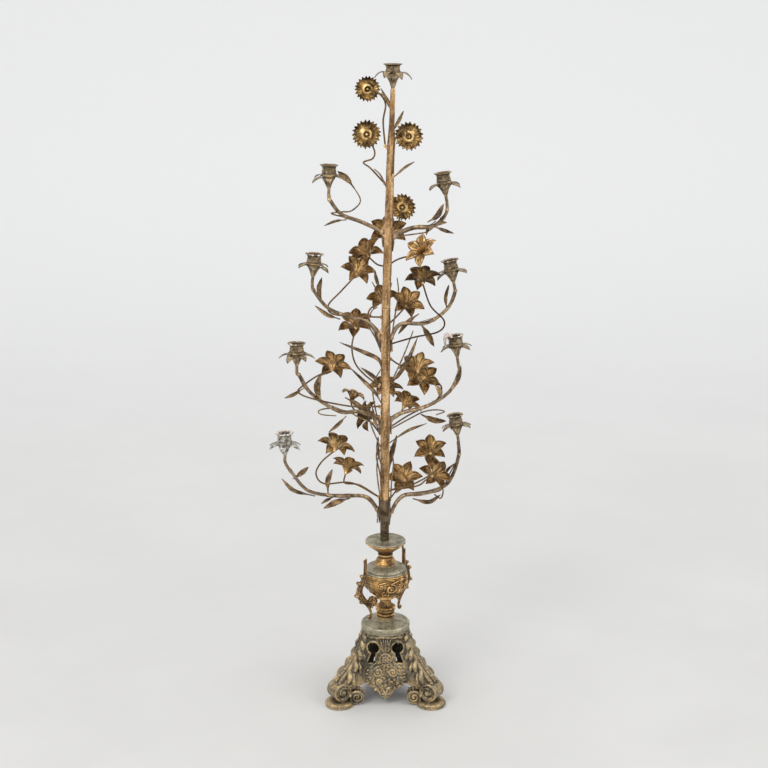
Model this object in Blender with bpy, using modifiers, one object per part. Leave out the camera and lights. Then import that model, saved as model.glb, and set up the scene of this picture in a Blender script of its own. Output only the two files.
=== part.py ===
"""Altar candelabrum: a pierced tripod foot, a small urn, a dish and a bouquet with nine lights.

Units are metres, +Z is up and the floor is z = 0. Every piece hangs from the empty
"stack_axis", the line of the tie rod through the foot, the urn and the dish. Routes and
outlines are listed in millimetres from that line. The left arms reach further out than the
right ones, so the line stands a little off the middle of the overall box.
"""
import math

import bmesh
import bpy
from mathutils import Matrix, Vector

# ---- driving dimensions ------------------------------------------------------------
MM = 0.001
GAP = 0.3                      # mm left between touching pieces
STACK_X = 22.5                 # mm, the tie rod's line in the overall box
STACK_Y = -30.0

FOOT_ANGLES = (210, 330, 90)   # degrees about the stack, seen from above
FACE_ANGLES = (270, 30, 150)
FOOT_REACH = 95.0
PAD_RADIUS = 26.5
PAD_HEIGHT = 9.0
BALL_RADIUS = 19.5
BALL_HEIGHT = 27.0
SHELL_TOP = 130.0
SHELL_WALL = 5.0
LEG_WIDTH = 26.0
SHELL_SIDES = 30

ROD_RADIUS = 4.0
ROD_HOLE = 4.4
ROD_BOTTOM = 100.0
ROD_TOP = 336.0
HANDLE_ANGLES = {"handle_left": 226, "handle_right": 44}

FERRULE_X = -1.5               # the loose ferrule leans against one side of the rod
TUBE_FOOT = 345.0
TUBE_JOINT = 720.0
TUBE_TOP = 1090.0
TUBE_LEAN_LOWER = 2.3          # mm that the tube runs to the right over each length
TUBE_LEAN_UPPER = 11.3

CALYX_HEIGHT = 24.0
NOZZLE_HEIGHT = 16.0
NOZZLE_BORE = 11.0
NOZZLE_WALL = 11.9
NOZZLE_RIM = 15.5
PETAL_REACH = 29.0
WIRE_RADIUS = 1.4

GILT = ((0.62, 0.40, 0.17), 0.42, 1.0)
BRONZE = ((0.30, 0.24, 0.17), 0.50, 1.0)
SPELTER = ((0.33, 0.34, 0.29), 0.60, 0.8)
STEEL = ((0.40, 0.40, 0.40), 0.45, 1.0)

# Each light: the arm's route from the stem, then the rim's centre and the lean of the cup.
ARM_LIGHTS = {
    "left_1": {"angle": 162, "height": 354,
               "route": [(-37, -4, 380), (-86, -18, 386), (-135, -28, 399), (-163, -33, 434)],
               "rim": (-175, -35, 507), "lean": (-0.02, 0, 1)},
    "right_1": {"angle": 30, "height": 349,
                "route": [(31, 20, 373), (75, 55, 367), (115, 90, 374), (134, 105, 418)],
                "rim": (126, 105, 499), "lean": (-0.14, 0, 1)},
    "left_2": {"angle": 162, "height": 522,
               "route": [(-46, -4, 536), (-81, -12, 539), (-127, -22, 573), (-147, -25, 606)],
               "rim": (-152, -25, 664), "lean": (0, 0, 1)},
    "right_2": {"angle": 34, "height": 519,
                "route": [(32, 20, 528), (73, 45, 532), (113, 70, 551), (131, 82, 584)],
                "rim": (123, 84, 652), "lean": (-0.13, 0.02, 1)},
    "left_3": {"angle": 165, "height": 672,
               "route": [(-32, 0, 696), (-67, -6, 707), (-99, -12, 723), (-121, -16, 752)],
               "rim": (-120, -16, 817), "lean": (0.08, 0, 1)},
    "right_3": {"angle": 36, "height": 667,
                "route": [(27, 15, 688), (72, 30, 687), (108, 45, 709), (121, 50, 738)],
                "rim": (111, 50, 794), "lean": (-0.19, 0, 1)},
    "left_4": {"angle": 160, "height": 850,
               "route": [(-40, 0, 868), (-74, -6, 882), (-92, -10, 904)],
               "rim": (-94, -10, 966), "lean": (0.02, 0, 1)},
    "right_4": {"angle": 24, "height": 843,
                "route": [(47, 15, 856), (82, 28, 857), (103, 37, 876)],
                "rim": (97, 38, 947), "lean": (-0.15, 0, 1)},
}
ARM_ROOT_RADIUS = 4.2
ARM_TIP_RADIUS = 2.9

# Flowers of one node share a root. Heads face (azimuth, elevation) in degrees.
DAISY_SPRAYS = {
    "daisy_top": {"root": (182, 996), "heads": [
        {"at": (-30, 10, 1089), "face": (95, 5), "size": 20,
         "route": [(-4, 3, 1036), (0, 4, 1064), (-10, 3, 1081)]}]},
    "daisy_left": {"root": (170, 934), "heads": [
        {"at": (-32, 12, 1014), "face": (100, 5), "size": 23,
         "route": [(-25, -3, 959), (-37, -5, 969), (-22, -4, 975), (-18, 0, 985), (-23, 3, 998)]}]},
    "daisy_right": {"root": (300, 948), "heads": [
        {"at": (39, 20, 1010), "face": (82, 5), "size": 23,
         "route": [(13, -15, 985), (15, -15, 1005), (23, -9, 1020), (33, 0, 1022)]}]},
    "daisy_low": {"root": (50, 850), "heads": [
        {"at": (29, 30, 889), "face": (75, 5), "size": 22, "route": [(21, 16, 862)]}]},
}
LILY_SPRAYS = {
    "lilies_crown": {"root": (95, 790), "heads": [
        {"at": (4, 36, 846), "face": (90, 50), "size": 29, "route": [(6, 18, 806)]},
        {"at": (-34, 36, 811), "face": (125, 40), "size": 27, "route": [(-14, 18, 792)]},
        {"at": (62, 24, 815), "face": (262, 20), "size": 28,
         "route": [(20, 20, 800), (42, 34, 804), (60, 40, 806)]}]},
    "lily_upper_left": {"root": (140, 702), "heads": [
        {"at": (-47, 26, 780), "face": (75, 25), "size": 28,
         "route": [(-60, 12, 703), (-92, 8, 708), (-98, 4, 724), (-76, 6, 748)]}]},
    "lily_upper_right": {"root": (75, 652), "heads": [
        {"at": (64, 34, 766), "face": (90, 50), "size": 28,
         "route": [(48, 16, 664), (92, 26, 672), (102, 30, 690), (78, 26, 718)]}]},
    "lily_middle_right": {"root": (58, 690), "heads": [
        {"at": (38, 34, 722), "face": (80, 15), "size": 27, "route": [(20, 16, 702)]}]},
    "lily_middle_back": {"root": (110, 640), "heads": [
        {"at": (-4, 50, 728), "face": (110, 25), "size": 27,
         "route": [(-16, 26, 664), (-30, 32, 700), (-20, 36, 716)]}]},
    "lily_middle_left": {"root": (165, 580), "heads": [
        {"at": (-52, 14, 690), "face": (95, 50), "size": 28,
         "route": [(-37, 5, 601), (-53, 5, 622), (-58, 2, 652)]}]},
    "lily_outer_left": {"root": (195, 545), "heads": [
        {"at": (-91, 2, 618), "face": (80, 25), "size": 28,
         "route": [(-60, -26, 552), (-124, -36, 568), (-150, -34, 580), (-138, -10, 588), (-116, -6, 602)]}]},
    "lily_stem_right": {"root": (35, 628), "heads": [
        {"at": (55, 34, 607), "face": (95, 25), "size": 28, "route": [(24, 14, 616)]}]},
    "lily_outer_right": {"root": (70, 500), "heads": [
        {"at": (66, 64, 579), "face": (75, 15), "size": 29,
         "route": [(40, 44, 515), (88, 66, 535), (100, 66, 560), (84, 54, 578)]}]},
    "lilies_centre_right": {"root": (72, 514), "heads": [
        {"at": (0, 50, 566), "face": (85, 40), "size": 27, "route": [(4, 22, 532)]},
        {"at": (36, 38, 541), "face": (60, 40), "size": 27, "route": [(22, 22, 520)]}]},
    "lilies_centre_left": {"root": (150, 494), "heads": [
        {"at": (-57, 30, 556), "face": (20, 70), "size": 20, "route": [(-30, 16, 516), (-54, 26, 530)]},
        {"at": (-33, 42, 515), "face": (150, 5), "size": 27, "route": [(-14, 22, 500)]}]},
    "lilies_lower_left": {"root": (178, 378), "heads": [
        {"at": (-86, -4, 475), "face": (60, 60), "size": 29,
         "route": [(-60, 6, 402), (-108, -4, 404), (-122, -10, 424), (-112, -10, 446)]},
        {"at": (-67, 12, 429), "face": (60, 60), "size": 28, "route": [(-46, 6, 398), (-72, 6, 402)]}]},
    "lily_lower_right": {"root": (60, 366), "heads": [
        {"at": (33, 38, 401), "face": (95, 5), "size": 29, "route": [(20, 20, 384)]}]},
    "lilies_lower_outer": {"root": (40, 388), "heads": [
        {"at": (80, 44, 451), "face": (90, 10), "size": 28,
         "route": [(52, 20, 396), (96, 30, 424)]},
        {"at": (90, 68, 398), "face": (60, 5), "size": 28, "route": [(56, 30, 388), (72, 50, 392)]}]},
}


# ---- helpers -----------------------------------------------------------------------
def clear_scene():
    for old in list(bpy.data.objects):
        bpy.data.objects.remove(old, do_unlink=True)


def new_collection(name):
    group = bpy.data.collections.new(name)
    bpy.context.scene.collection.children.link(group)
    return group


def metal(name, finish):
    colour, roughness, metallic = finish
    made = bpy.data.materials.new(name)
    made.use_nodes = True
    shader = made.node_tree.nodes["Principled BSDF"]
    shader.inputs["Base Color"].default_value = (*colour, 1.0)
    shader.inputs["Roughness"].default_value = roughness
    shader.inputs["Metallic"].default_value = metallic
    return made


def place(obj, group, finish=None, at=(0, 0, 0), turn=None):
    """Links an object at a spot in mm from the stack's line and gives it its own material."""
    group.objects.link(obj)
    obj.parent = stack_axis
    spot = Matrix.Translation(Vector(at) * MM)
    obj.matrix_local = spot @ turn if turn else spot
    if finish:
        obj.data.materials.append(metal(obj.name, finish))
    return obj


def as_cutter(obj):
    obj.hide_render = True
    obj.display_type = "WIRE"
    return obj


def mesh_object(name, bm):
    bmesh.ops.recalc_face_normals(bm, faces=bm.faces)
    mesh = bpy.data.meshes.new(name)
    bm.to_mesh(mesh)
    bm.free()
    mesh.shade_smooth()
    mesh.set_sharp_from_angle(angle=math.radians(35))
    return bpy.data.objects.new(name, mesh)


def turned(name, profile, steps, closed=False):
    """A turned piece from (radius, height) points in mm, down the outside and back."""
    mesh = bpy.data.meshes.new(name)
    points = [(radius * MM, 0, height * MM) for radius, height in profile]
    edges = [(i, i + 1) for i in range(len(points) - 1)]
    if closed:
        edges.append((len(points) - 1, 0))
    mesh.from_pydata(points, edges, [])
    obj = bpy.data.objects.new(name, mesh)
    screw = obj.modifiers.new("turn", "SCREW")
    screw.steps = steps
    screw.render_steps = steps
    screw.use_merge_vertices = True
    screw.merge_threshold = 0.00001
    screw.use_smooth_shade = True
    return obj


def loft(name, rings, closed=False):
    """A solid between rings of equal point counts, in mm; closed joins the last to the first."""
    bm = bmesh.new()
    loops = [[bm.verts.new(Vector(point) * MM) for point in ring] for ring in rings]
    pairs = list(zip(loops, loops[1:]))
    if closed:
        pairs.append((loops[-1], loops[0]))
    count = len(loops[0])
    for low, high in pairs:
        for i in range(count):
            j = (i + 1) % count
            bm.faces.new((low[i], low[j], high[j], high[i]))
    if not closed:
        bm.faces.new(loops[0])
        bm.faces.new(loops[-1])
    return mesh_object(name, bm)


def outline(name, points, thickness):
    """A flat outline in the XY plane, in mm, with its thickness to both sides."""
    curve = bpy.data.curves.new(name, "CURVE")
    curve.dimensions = "2D"
    curve.fill_mode = "BOTH"
    curve.extrude = thickness / 2 * MM
    fill_spline(curve, [(x, y, 0) for x, y in points], smooth=False, cyclic=True)
    return bpy.data.objects.new(name, curve)


def fill_spline(curve, points, smooth, cyclic=False, radii=None):
    spline = curve.splines.new("BEZIER" if smooth else "POLY")
    spline.use_cyclic_u = cyclic
    knots = spline.bezier_points if smooth else spline.points
    knots.add(len(points) - 1)
    for index, (knot, point) in enumerate(zip(knots, points)):
        spot = Vector(point) * MM
        knot.co = spot if smooth else (*spot, 1)
        knot.radius = radii[index] if radii else 1.0
        if smooth:
            knot.handle_left_type = "AUTO"
            knot.handle_right_type = "AUTO"


def rod(name, points, radius, radii=None, sides=1, resolution=3):
    """A round wire through points in mm; radii scale it point by point."""
    curve = bpy.data.curves.new(name, "CURVE")
    curve.dimensions = "3D"
    curve.bevel_depth = radius * MM
    curve.bevel_resolution = sides
    curve.use_fill_caps = True
    curve.resolution_u = resolution
    fill_spline(curve, points, smooth=True, radii=radii)
    return bpy.data.objects.new(name, curve)


def to_mesh(curve_object):
    """Turns a placed curve into a mesh object of the same name with welded caps."""
    bpy.context.view_layer.update()
    graph = bpy.context.evaluated_depsgraph_get()
    mesh = bpy.data.meshes.new_from_object(curve_object.evaluated_get(graph))
    bm = bmesh.new()
    bm.from_mesh(mesh)
    bmesh.ops.remove_doubles(bm, verts=bm.verts, dist=0.00001)
    bmesh.ops.recalc_face_normals(bm, faces=bm.faces)
    bm.to_mesh(mesh)
    bm.free()
    name = curve_object.name
    group = curve_object.users_collection[0]
    matrix = curve_object.matrix_world.copy()
    bpy.data.objects.remove(curve_object, do_unlink=True)
    made = bpy.data.objects.new(name, mesh)
    group.objects.link(made)
    made.parent = stack_axis
    made.matrix_world = matrix
    return made


def combine(target, other, operation):
    step = target.modifiers.new(operation.lower(), "BOOLEAN")
    step.operation = operation
    step.solver = "EXACT"
    step.object = as_cutter(other)


def cylinder(name, radius, depth, sides=24, radius_top=None):
    bm = bmesh.new()
    top = radius if radius_top is None else radius_top
    bmesh.ops.create_cone(bm, cap_ends=True, segments=sides, radius1=radius * MM,
                          radius2=top * MM, depth=depth * MM)
    return mesh_object(name, bm)


def ball(name, radius, sides=16):
    bm = bmesh.new()
    bmesh.ops.create_uvsphere(bm, u_segments=sides, v_segments=sides // 2, radius=radius * MM)
    return mesh_object(name, bm)


def turn_z(degrees):
    return Matrix.Rotation(math.radians(degrees), 4, "Z")


def turn_x(degrees):
    return Matrix.Rotation(math.radians(degrees), 4, "X")


def polar(radius, degrees, height=0.0):
    angle = math.radians(degrees)
    return Vector((radius * math.cos(angle), radius * math.sin(angle), height))


def facing(azimuth, elevation):
    flat = math.cos(math.radians(elevation))
    return polar(flat, azimuth, math.sin(math.radians(elevation)))


# ---- the tripod foot ---------------------------------------------------------------
def shell_ring(height, face_reach, corner_reach, inset):
    """One level of the bell: near the stack on the three faces, far out at the feet."""
    ring = []
    for step in range(SHELL_SIDES):
        degrees = step * 360 / SHELL_SIDES
        swing = 0.5 + 0.5 * math.cos(math.radians(3 * (degrees - FOOT_ANGLES[2])))
        reach = face_reach + (corner_reach - face_reach) * swing ** 2.2
        ring.append(polar(reach - inset, degrees, height))
    return ring


def make_tripod():
    levels = [(SHELL_TOP, 41, 42), (118, 41, 48), (100, 43, 60), (84, 45, 71), (66, 46, 84)]
    outside = [shell_ring(z, face, corner, 0) for z, face, corner in levels]
    inside = [shell_ring(z, face, corner, SHELL_WALL) for z, face, corner in reversed(levels)]
    tripod = place(loft("tripod_base", outside + inside, closed=True), parts, SPELTER)

    top_profile = [(40, SHELL_TOP), (40, 123), (ROD_HOLE, 123), (ROD_HOLE, SHELL_TOP)]
    top = turned("top_web", top_profile, 20, closed=True)
    combine(tripod, place(top, cutters), "UNION")

    leg_side = [(42, 122), (57, 114), (69, 90), (84, 67), (101, 48), (106, 30), (96, 18),
                (84, 26), (70, 50), (55, 76), (44, 104)]
    scroll_at = 30.0
    scroll_radius = 13.0
    for index, degrees in enumerate(FOOT_ANGLES):
        spin = turn_z(degrees)
        leg = place(outline(f"leg_{index}", leg_side, LEG_WIDTH), cutters,
                    turn=spin @ turn_x(90))
        combine(tripod, to_mesh(leg), "UNION")
        pad = cylinder(f"pad_{index}", PAD_RADIUS, PAD_HEIGHT, 20)
        pad_at = polar(FOOT_REACH, degrees, PAD_HEIGHT / 2)
        combine(tripod, place(pad, cutters, at=pad_at, turn=spin), "UNION")
        volute = ball(f"volute_{index}", BALL_RADIUS, 12)
        volute_at = polar(FOOT_REACH + 1, degrees, BALL_HEIGHT)
        combine(tripod, place(volute, cutters, at=volute_at, turn=spin), "UNION")
        for side in (-1, 1):
            toward = degrees + side * 150
            scroll = cylinder(f"scroll_{index}_{side}", scroll_radius, 10, 12)
            scroll_spot = polar(FOOT_REACH, degrees) + polar(scroll_at, toward, scroll_radius + 3)
            combine(tripod, place(scroll, cutters, at=scroll_spot,
                                  turn=turn_z(toward + 90) @ turn_x(90)), "UNION")

    panel_side = [(0, 10), (9, 16), (14, 26), (30, 36), (38, 50), (36, 66), (40, 78),
                  (30, 86), (0, 92), (-30, 86), (-40, 78), (-36, 66), (-38, 50), (-30, 36),
                  (-14, 26), (-9, 16)]
    panel_tilt = 85.3
    panel_foot = 50.5
    for index, degrees in enumerate(FACE_ANGLES):
        spin = turn_z(degrees + 90)
        panel = place(outline(f"panel_{index}", panel_side, 6), cutters,
                      at=polar(panel_foot, degrees), turn=spin @ turn_x(panel_tilt))
        combine(tripod, to_mesh(panel), "UNION")
        rosette = cylinder(f"rosette_{index}", 13, 7, 12, radius_top=8)
        combine(tripod, place(rosette, cutters, at=polar(47, degrees, 86),
                              turn=spin @ turn_x(panel_tilt)), "UNION")
    for index, degrees in enumerate(FACE_ANGLES):
        spin = turn_z(degrees + 90)
        for side in (-1, 1):
            keyhole = [(-7, 104), (-5, 109.5), (0, 112), (5, 109.5), (7, 104), (5, 98), (3, 93),
                       (6, 80), (-6, 80), (-3, 93), (-5, 98)]
            hole = outline(f"keyhole_{index}_{side}", [(x + side * 23, y) for x, y in keyhole], 50)
            place(hole, cutters, at=polar(50, degrees), turn=spin @ turn_x(90))
            combine(tripod, to_mesh(hole), "DIFFERENCE")


def make_clamp():
    rod_height = ROD_TOP - ROD_BOTTOM
    tie_rod = cylinder("tie_rod", ROD_RADIUS, rod_height, 16)
    place(tie_rod, parts, STEEL, at=(0, 0, ROD_BOTTOM + rod_height / 2))
    nut_radius = 8.5
    nut_hole = 5.2
    nut = turned("base_nut", [(nut_radius, 113), (nut_radius, 106), (nut_hole, 106), (nut_hole, 113)],
                 6, closed=True)
    place(nut, parts, STEEL)
    washer_top = 123 - GAP
    washer = turned("base_washer", [(14, washer_top), (14, 113 + GAP), (ROD_HOLE, 113 + GAP),
                                    (ROD_HOLE, washer_top)], 16, closed=True)
    place(washer, parts, STEEL)


# ---- the urn and the dish ----------------------------------------------------------
def make_urn():
    cap = [(18, 150), (30, 146.5), (40, 141), (44, 138), (44, 131.5), (43, SHELL_TOP + GAP),
           (ROD_HOLE, SHELL_TOP + GAP), (ROD_HOLE, 150)]
    place(turned("cap_plate", cap, 24, closed=True), parts, SPELTER)

    foot = 150 + GAP
    pedestal = [(20, 193), (20, 189), (12, 186), (10, 181), (14, 177.5), (19, 172), (19, 168),
                (15, 162), (16, 157), (16, foot), (ROD_HOLE, foot), (ROD_HOLE, 193)]
    place(turned("pedestal", pedestal, 18, closed=True), parts, GILT)

    foot = 193 + GAP
    bowl = [(38, 238), (38.5, 232), (37, 218), (32, 205), (21, 196), (21, foot), (ROD_HOLE, foot),
            (ROD_HOLE, 196.5), (19, 199), (29, 208), (34, 219), (35, 238)]
    place(turned("urn_bowl", bowl, 20, closed=True), parts, GILT)

    foot = 238 + GAP
    shoulder = [(19.4, 252.5), (29, 250), (36, 245), (35, 241.5), (37.5, 240), (37.5, foot),
                (33, foot), (28, 246), (ROD_HOLE, 249), (ROD_HOLE, 252.5)]
    place(turned("urn_shoulder", shoulder, 20, closed=True), parts, SPELTER)

    foot = 252.5 + GAP
    collar = [(13, 269.7), (12.5, 267.5), (15, 266), (15.5, 260), (19, 257), (19, foot),
              (ROD_HOLE, foot), (ROD_HOLE, 269.7)]
    place(turned("neck_collar", collar, 16, closed=True), parts, GILT)

    foot = 270
    dish = [(35, 294.3), (33, 289), (20, 281), (13, 274), (13, foot), (ROD_HOLE, foot),
            (ROD_HOLE, 276), (17, 283), (30, 290.5), (32, 294.3)]
    place(turned("dish_bowl", dish, 20, closed=True), parts, GILT)

    foot = 294.3 + GAP
    plate = [(35, 297), (35.5, 296), (35, foot), (ROD_HOLE, foot), (ROD_HOLE, 297)]
    place(turned("dish_plate", plate, 24, closed=True), parts, SPELTER)


def make_handles():
    """Scroll handles: an upright bar, an S down to the rosette, a tail below, two buds."""
    bar = [(47, 272), (47, 250), (48, 234), (53, 220), (57, 205), (55, 191), (46, 182), (36, 181)]
    bar_scale = [0.9, 0.9, 1.0, 1.2, 1.4, 1.3, 1.2, 1.0]
    tail = [(50, 185), (42, 177), (36, 168), (33, 159), (36, 154)]
    for name, degrees in HANDLE_ANGLES.items():
        route = [polar(radius, degrees, height) for radius, height in bar]
        handle = place(rod(name, route, 3.2, bar_scale, sides=2, resolution=2), parts)
        handle = to_mesh(handle)
        handle.data.materials.append(metal(name, GILT))
        route = [polar(radius, degrees, height) for radius, height in tail]
        lower = place(rod(f"{name}_tail", route, 2.2, resolution=2), cutters)
        combine(handle, to_mesh(lower), "UNION")
        rosette = cylinder(f"{name}_rosette", 9, 6, 12)
        combine(handle, place(rosette, cutters, at=polar(33.5, degrees, 184),
                              turn=turn_z(degrees + 90) @ turn_x(90)), "UNION")
        for index, (radius, height) in enumerate([(58, 221), (61, 203)]):
            bud = ball(f"{name}_bud_{index}", 5, 8)
            combine(handle, place(bud, cutters, at=polar(radius, degrees, height)), "UNION")


# ---- the stem ----------------------------------------------------------------------
def stem_centre(height):
    if height < TUBE_JOINT:
        share = max(0.0, (height - TUBE_FOOT) / (TUBE_JOINT - TUBE_FOOT))
        return Vector((FERRULE_X + TUBE_LEAN_LOWER * share, 0, height))
    share = (height - TUBE_JOINT) / (TUBE_TOP - TUBE_JOINT)
    return Vector((FERRULE_X + TUBE_LEAN_LOWER + TUBE_LEAN_UPPER * share, 0, height))


def stem_radius(height):
    if height < 345:
        return 8.0
    if height < 375:
        return 10.3
    if height < TUBE_JOINT:
        return 8.0
    if height < 1000:
        return 7.0
    return 5.0


def beside_stem(degrees, height, clearance):
    return stem_centre(height) + polar(stem_radius(height) + clearance, degrees)


def make_stem():
    foot = 297 + GAP
    ferrule = [(10.3, 374), (10.3, 352), (9.6, 347), (7.75, 330), (7.75, foot), (6.2, foot),
               (6.2, 342), (8.6, 342), (8.6, 374)]
    place(turned("stem_ferrule", ferrule, 14, closed=True), parts, BRONZE, at=(FERRULE_X, 0, 0))

    length = TUBE_JOINT - TUBE_FOOT
    tube = [(8, length), (8, 0), (6.5, 0), (6.5, length)]
    lean = Matrix.Rotation(math.atan2(TUBE_LEAN_LOWER, length), 4, "Y")
    place(turned("stem_tube_lower", tube, 14, closed=True), parts, GILT,
          at=stem_centre(TUBE_FOOT), turn=lean)

    spigot = -18.0
    taper_from = 1000 - TUBE_JOINT
    taper_to = 1030 - TUBE_JOINT
    length = TUBE_TOP - TUBE_JOINT
    tube = [(3.9, length), (4.7, taper_to), (7, taper_from), (7, GAP), (5.7, GAP), (5.7, spigot),
            (4.7, spigot), (4.7, taper_from), (3.2, taper_to), (2.6, length)]
    lean = Matrix.Rotation(math.atan2(TUBE_LEAN_UPPER, length), 4, "Y")
    place(turned("stem_tube_upper", tube, 12, closed=True), parts, GILT,
          at=stem_centre(TUBE_JOINT), turn=lean)


# ---- the lights --------------------------------------------------------------------
def star_ring(valley, tip, valley_height, tip_height, points):
    ring = []
    for step in range(points):
        is_tip = step % 2 == 0
        radius = tip if is_tip else valley
        height = tip_height if is_tip else valley_height
        ring.append(polar(radius, step * 360 / points, height))
    return ring


def calyx_rings(count=12):
    return [star_ring(3.3, 3.3, 0, 0, count),
            star_ring(5.5, 5.5, 11, 11, count),
            star_ring(9, 9, 19.5, 19.5, count),
            star_ring(14, PETAL_REACH, 21, 14, count),
            star_ring(9, 9, CALYX_HEIGHT, CALYX_HEIGHT, count)]


def make_light(label, rim, lean):
    axis = Vector(lean).normalized()
    turn = axis.to_track_quat("Z", "Y").to_matrix().to_4x4()
    foot = Vector(rim) - axis * (CALYX_HEIGHT + GAP + NOZZLE_HEIGHT)
    calyx = loft(f"calyx_{label}", calyx_rings())
    place(calyx, parts, BRONZE, at=foot, turn=turn)
    floor = 1.6
    profile = [(0, floor), (NOZZLE_BORE, floor), (NOZZLE_BORE, NOZZLE_HEIGHT),
               (NOZZLE_RIM, NOZZLE_HEIGHT), (NOZZLE_RIM - 0.4, NOZZLE_HEIGHT - 1.2),
               (NOZZLE_WALL, NOZZLE_HEIGHT - 2.8), (NOZZLE_WALL, 1.4), (13, 0.8), (13, 0), (0, 0)]
    nozzle = turned(f"nozzle_{label}", profile, 12)
    place(nozzle, parts, BRONZE, at=foot + axis * (CALYX_HEIGHT + GAP), turn=turn)
    return foot, axis


def make_lights():
    for label, light in ARM_LIGHTS.items():
        foot, axis = make_light(label, light["rim"], light["lean"])
        root = beside_stem(light["angle"], light["height"], GAP + ARM_ROOT_RADIUS * 0.9)
        route = [root] + [Vector(point) for point in light["route"]]
        route += [foot - axis * 14, foot - axis * GAP]
        last = len(route) - 1
        scale = [1 - (1 - ARM_TIP_RADIUS / ARM_ROOT_RADIUS) * i / last for i in range(last + 1)]
        arm = rod(f"arm_{label}", route, ARM_ROOT_RADIUS, scale, resolution=2)
        place(arm, parts, BRONZE)
    rim = stem_centre(TUBE_TOP) + Vector((0, 0, CALYX_HEIGHT + NOZZLE_HEIGHT + 2 * GAP))
    make_light("top", rim, (0, 0, 1))


# ---- the flowers -------------------------------------------------------------------
def lily_rings(size, count=12):
    small = size / 29
    levels = [(2.1, 2.1, 0, 0), (3.4, 3.4, 6, 6), (8, 8, 12, 12), (15, 29, 16.5, 16),
              (6.5, 6.5, 14, 14), (1.6, 1.6, 9, 9)]
    return [star_ring(valley * small, tip * small, low, high, count)
            for valley, tip, low, high in levels]


def daisy_rings(size, count=14):
    levels = [(2.1, 0), (6, 2.5), (size, 6), (size, 7.2), (4, 5)]
    return [star_ring(radius, radius, height, height, count) for radius, height in levels]


def make_spray(name, spray, rings, depth):
    """One or more heads on wires that leave a drop of solder beside the stem."""
    drop_radius = 2.6
    root = beside_stem(*spray["root"], GAP + drop_radius)
    body = place(ball(name, drop_radius, 8), parts, GILT, at=root)
    for index, head in enumerate(spray["heads"]):
        front = facing(*head["face"])
        back = Vector(head["at"]) - front * depth
        route = [Vector(point) for point in head["route"]] + [back + front * 1.5]
        start = root + (route[0] - root).normalized() * 0.8
        wire = place(rod(f"{name}_wire_{index}", [start] + route, WIRE_RADIUS, resolution=2), cutters)
        combine(body, to_mesh(wire), "UNION")
        turn = front.to_track_quat("Z", "Y").to_matrix().to_4x4()
        flower = loft(f"{name}_head_{index}", rings(head["size"]))
        combine(body, place(flower, cutters, at=back, turn=turn), "UNION")


def make_flowers():
    for name, spray in DAISY_SPRAYS.items():
        make_spray(name, spray, daisy_rings, depth=4)
    for name, spray in LILY_SPRAYS.items():
        make_spray(name, spray, lily_rings, depth=12)


clear_scene()
parts = new_collection("candelabrum")
cutters = new_collection("candelabrum_cutters")
stack_axis = bpy.data.objects.new("stack_axis", None)
stack_axis.location = Vector((STACK_X, STACK_Y, 0)) * MM
bpy.context.scene.collection.objects.link(stack_axis)
bpy.context.view_layer.update()

make_tripod()
make_clamp()
make_urn()
make_handles()
make_stem()
make_lights()
make_flowers()
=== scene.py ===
# %% [markdown]
# # An altar candelabrum, piece by piece
# The real object is a stack that one hidden rod holds together: a cast tripod foot, a small
# two-handled urn, a dish, and a bouquet of soldered sheet-metal flowers round a tall tube.
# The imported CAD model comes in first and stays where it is. Every cell below makes one kind
# of piece around it, in millimetres from the rod's line, and hands it to the body it rides on.

# %% Load the frame
import math
import random
from math import cos, pi, radians, sin

import bmesh
import bpy
import numpy as np
from mathutils import Matrix, Vector, noise


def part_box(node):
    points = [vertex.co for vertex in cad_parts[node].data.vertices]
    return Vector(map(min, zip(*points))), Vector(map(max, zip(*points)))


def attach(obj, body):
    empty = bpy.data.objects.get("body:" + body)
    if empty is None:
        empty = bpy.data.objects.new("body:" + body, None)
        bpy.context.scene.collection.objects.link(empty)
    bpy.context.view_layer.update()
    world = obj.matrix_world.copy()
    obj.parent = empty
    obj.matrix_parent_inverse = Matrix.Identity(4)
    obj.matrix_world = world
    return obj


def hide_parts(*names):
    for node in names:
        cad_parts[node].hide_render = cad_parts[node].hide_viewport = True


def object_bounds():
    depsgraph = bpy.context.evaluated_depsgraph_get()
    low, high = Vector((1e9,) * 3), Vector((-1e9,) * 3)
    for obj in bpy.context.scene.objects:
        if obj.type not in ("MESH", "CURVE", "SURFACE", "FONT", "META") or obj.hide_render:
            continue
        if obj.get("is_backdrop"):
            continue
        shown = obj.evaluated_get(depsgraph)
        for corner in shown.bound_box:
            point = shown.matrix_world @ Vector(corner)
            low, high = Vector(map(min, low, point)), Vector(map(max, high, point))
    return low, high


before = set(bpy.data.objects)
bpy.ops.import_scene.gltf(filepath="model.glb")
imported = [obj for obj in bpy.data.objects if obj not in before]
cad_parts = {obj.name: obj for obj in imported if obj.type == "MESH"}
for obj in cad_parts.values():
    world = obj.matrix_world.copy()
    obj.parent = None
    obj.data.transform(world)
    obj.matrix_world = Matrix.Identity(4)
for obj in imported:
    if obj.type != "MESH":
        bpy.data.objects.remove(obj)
cad_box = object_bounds()

MM = 0.001
rod_low, rod_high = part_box("tie_rod")
AXIS = Vector(((rod_low[0] + rod_high[0]) / 2, (rod_low[1] + rod_high[1]) / 2, 0))
print("rod line stands at", [round(v, 4) for v in AXIS])
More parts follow.
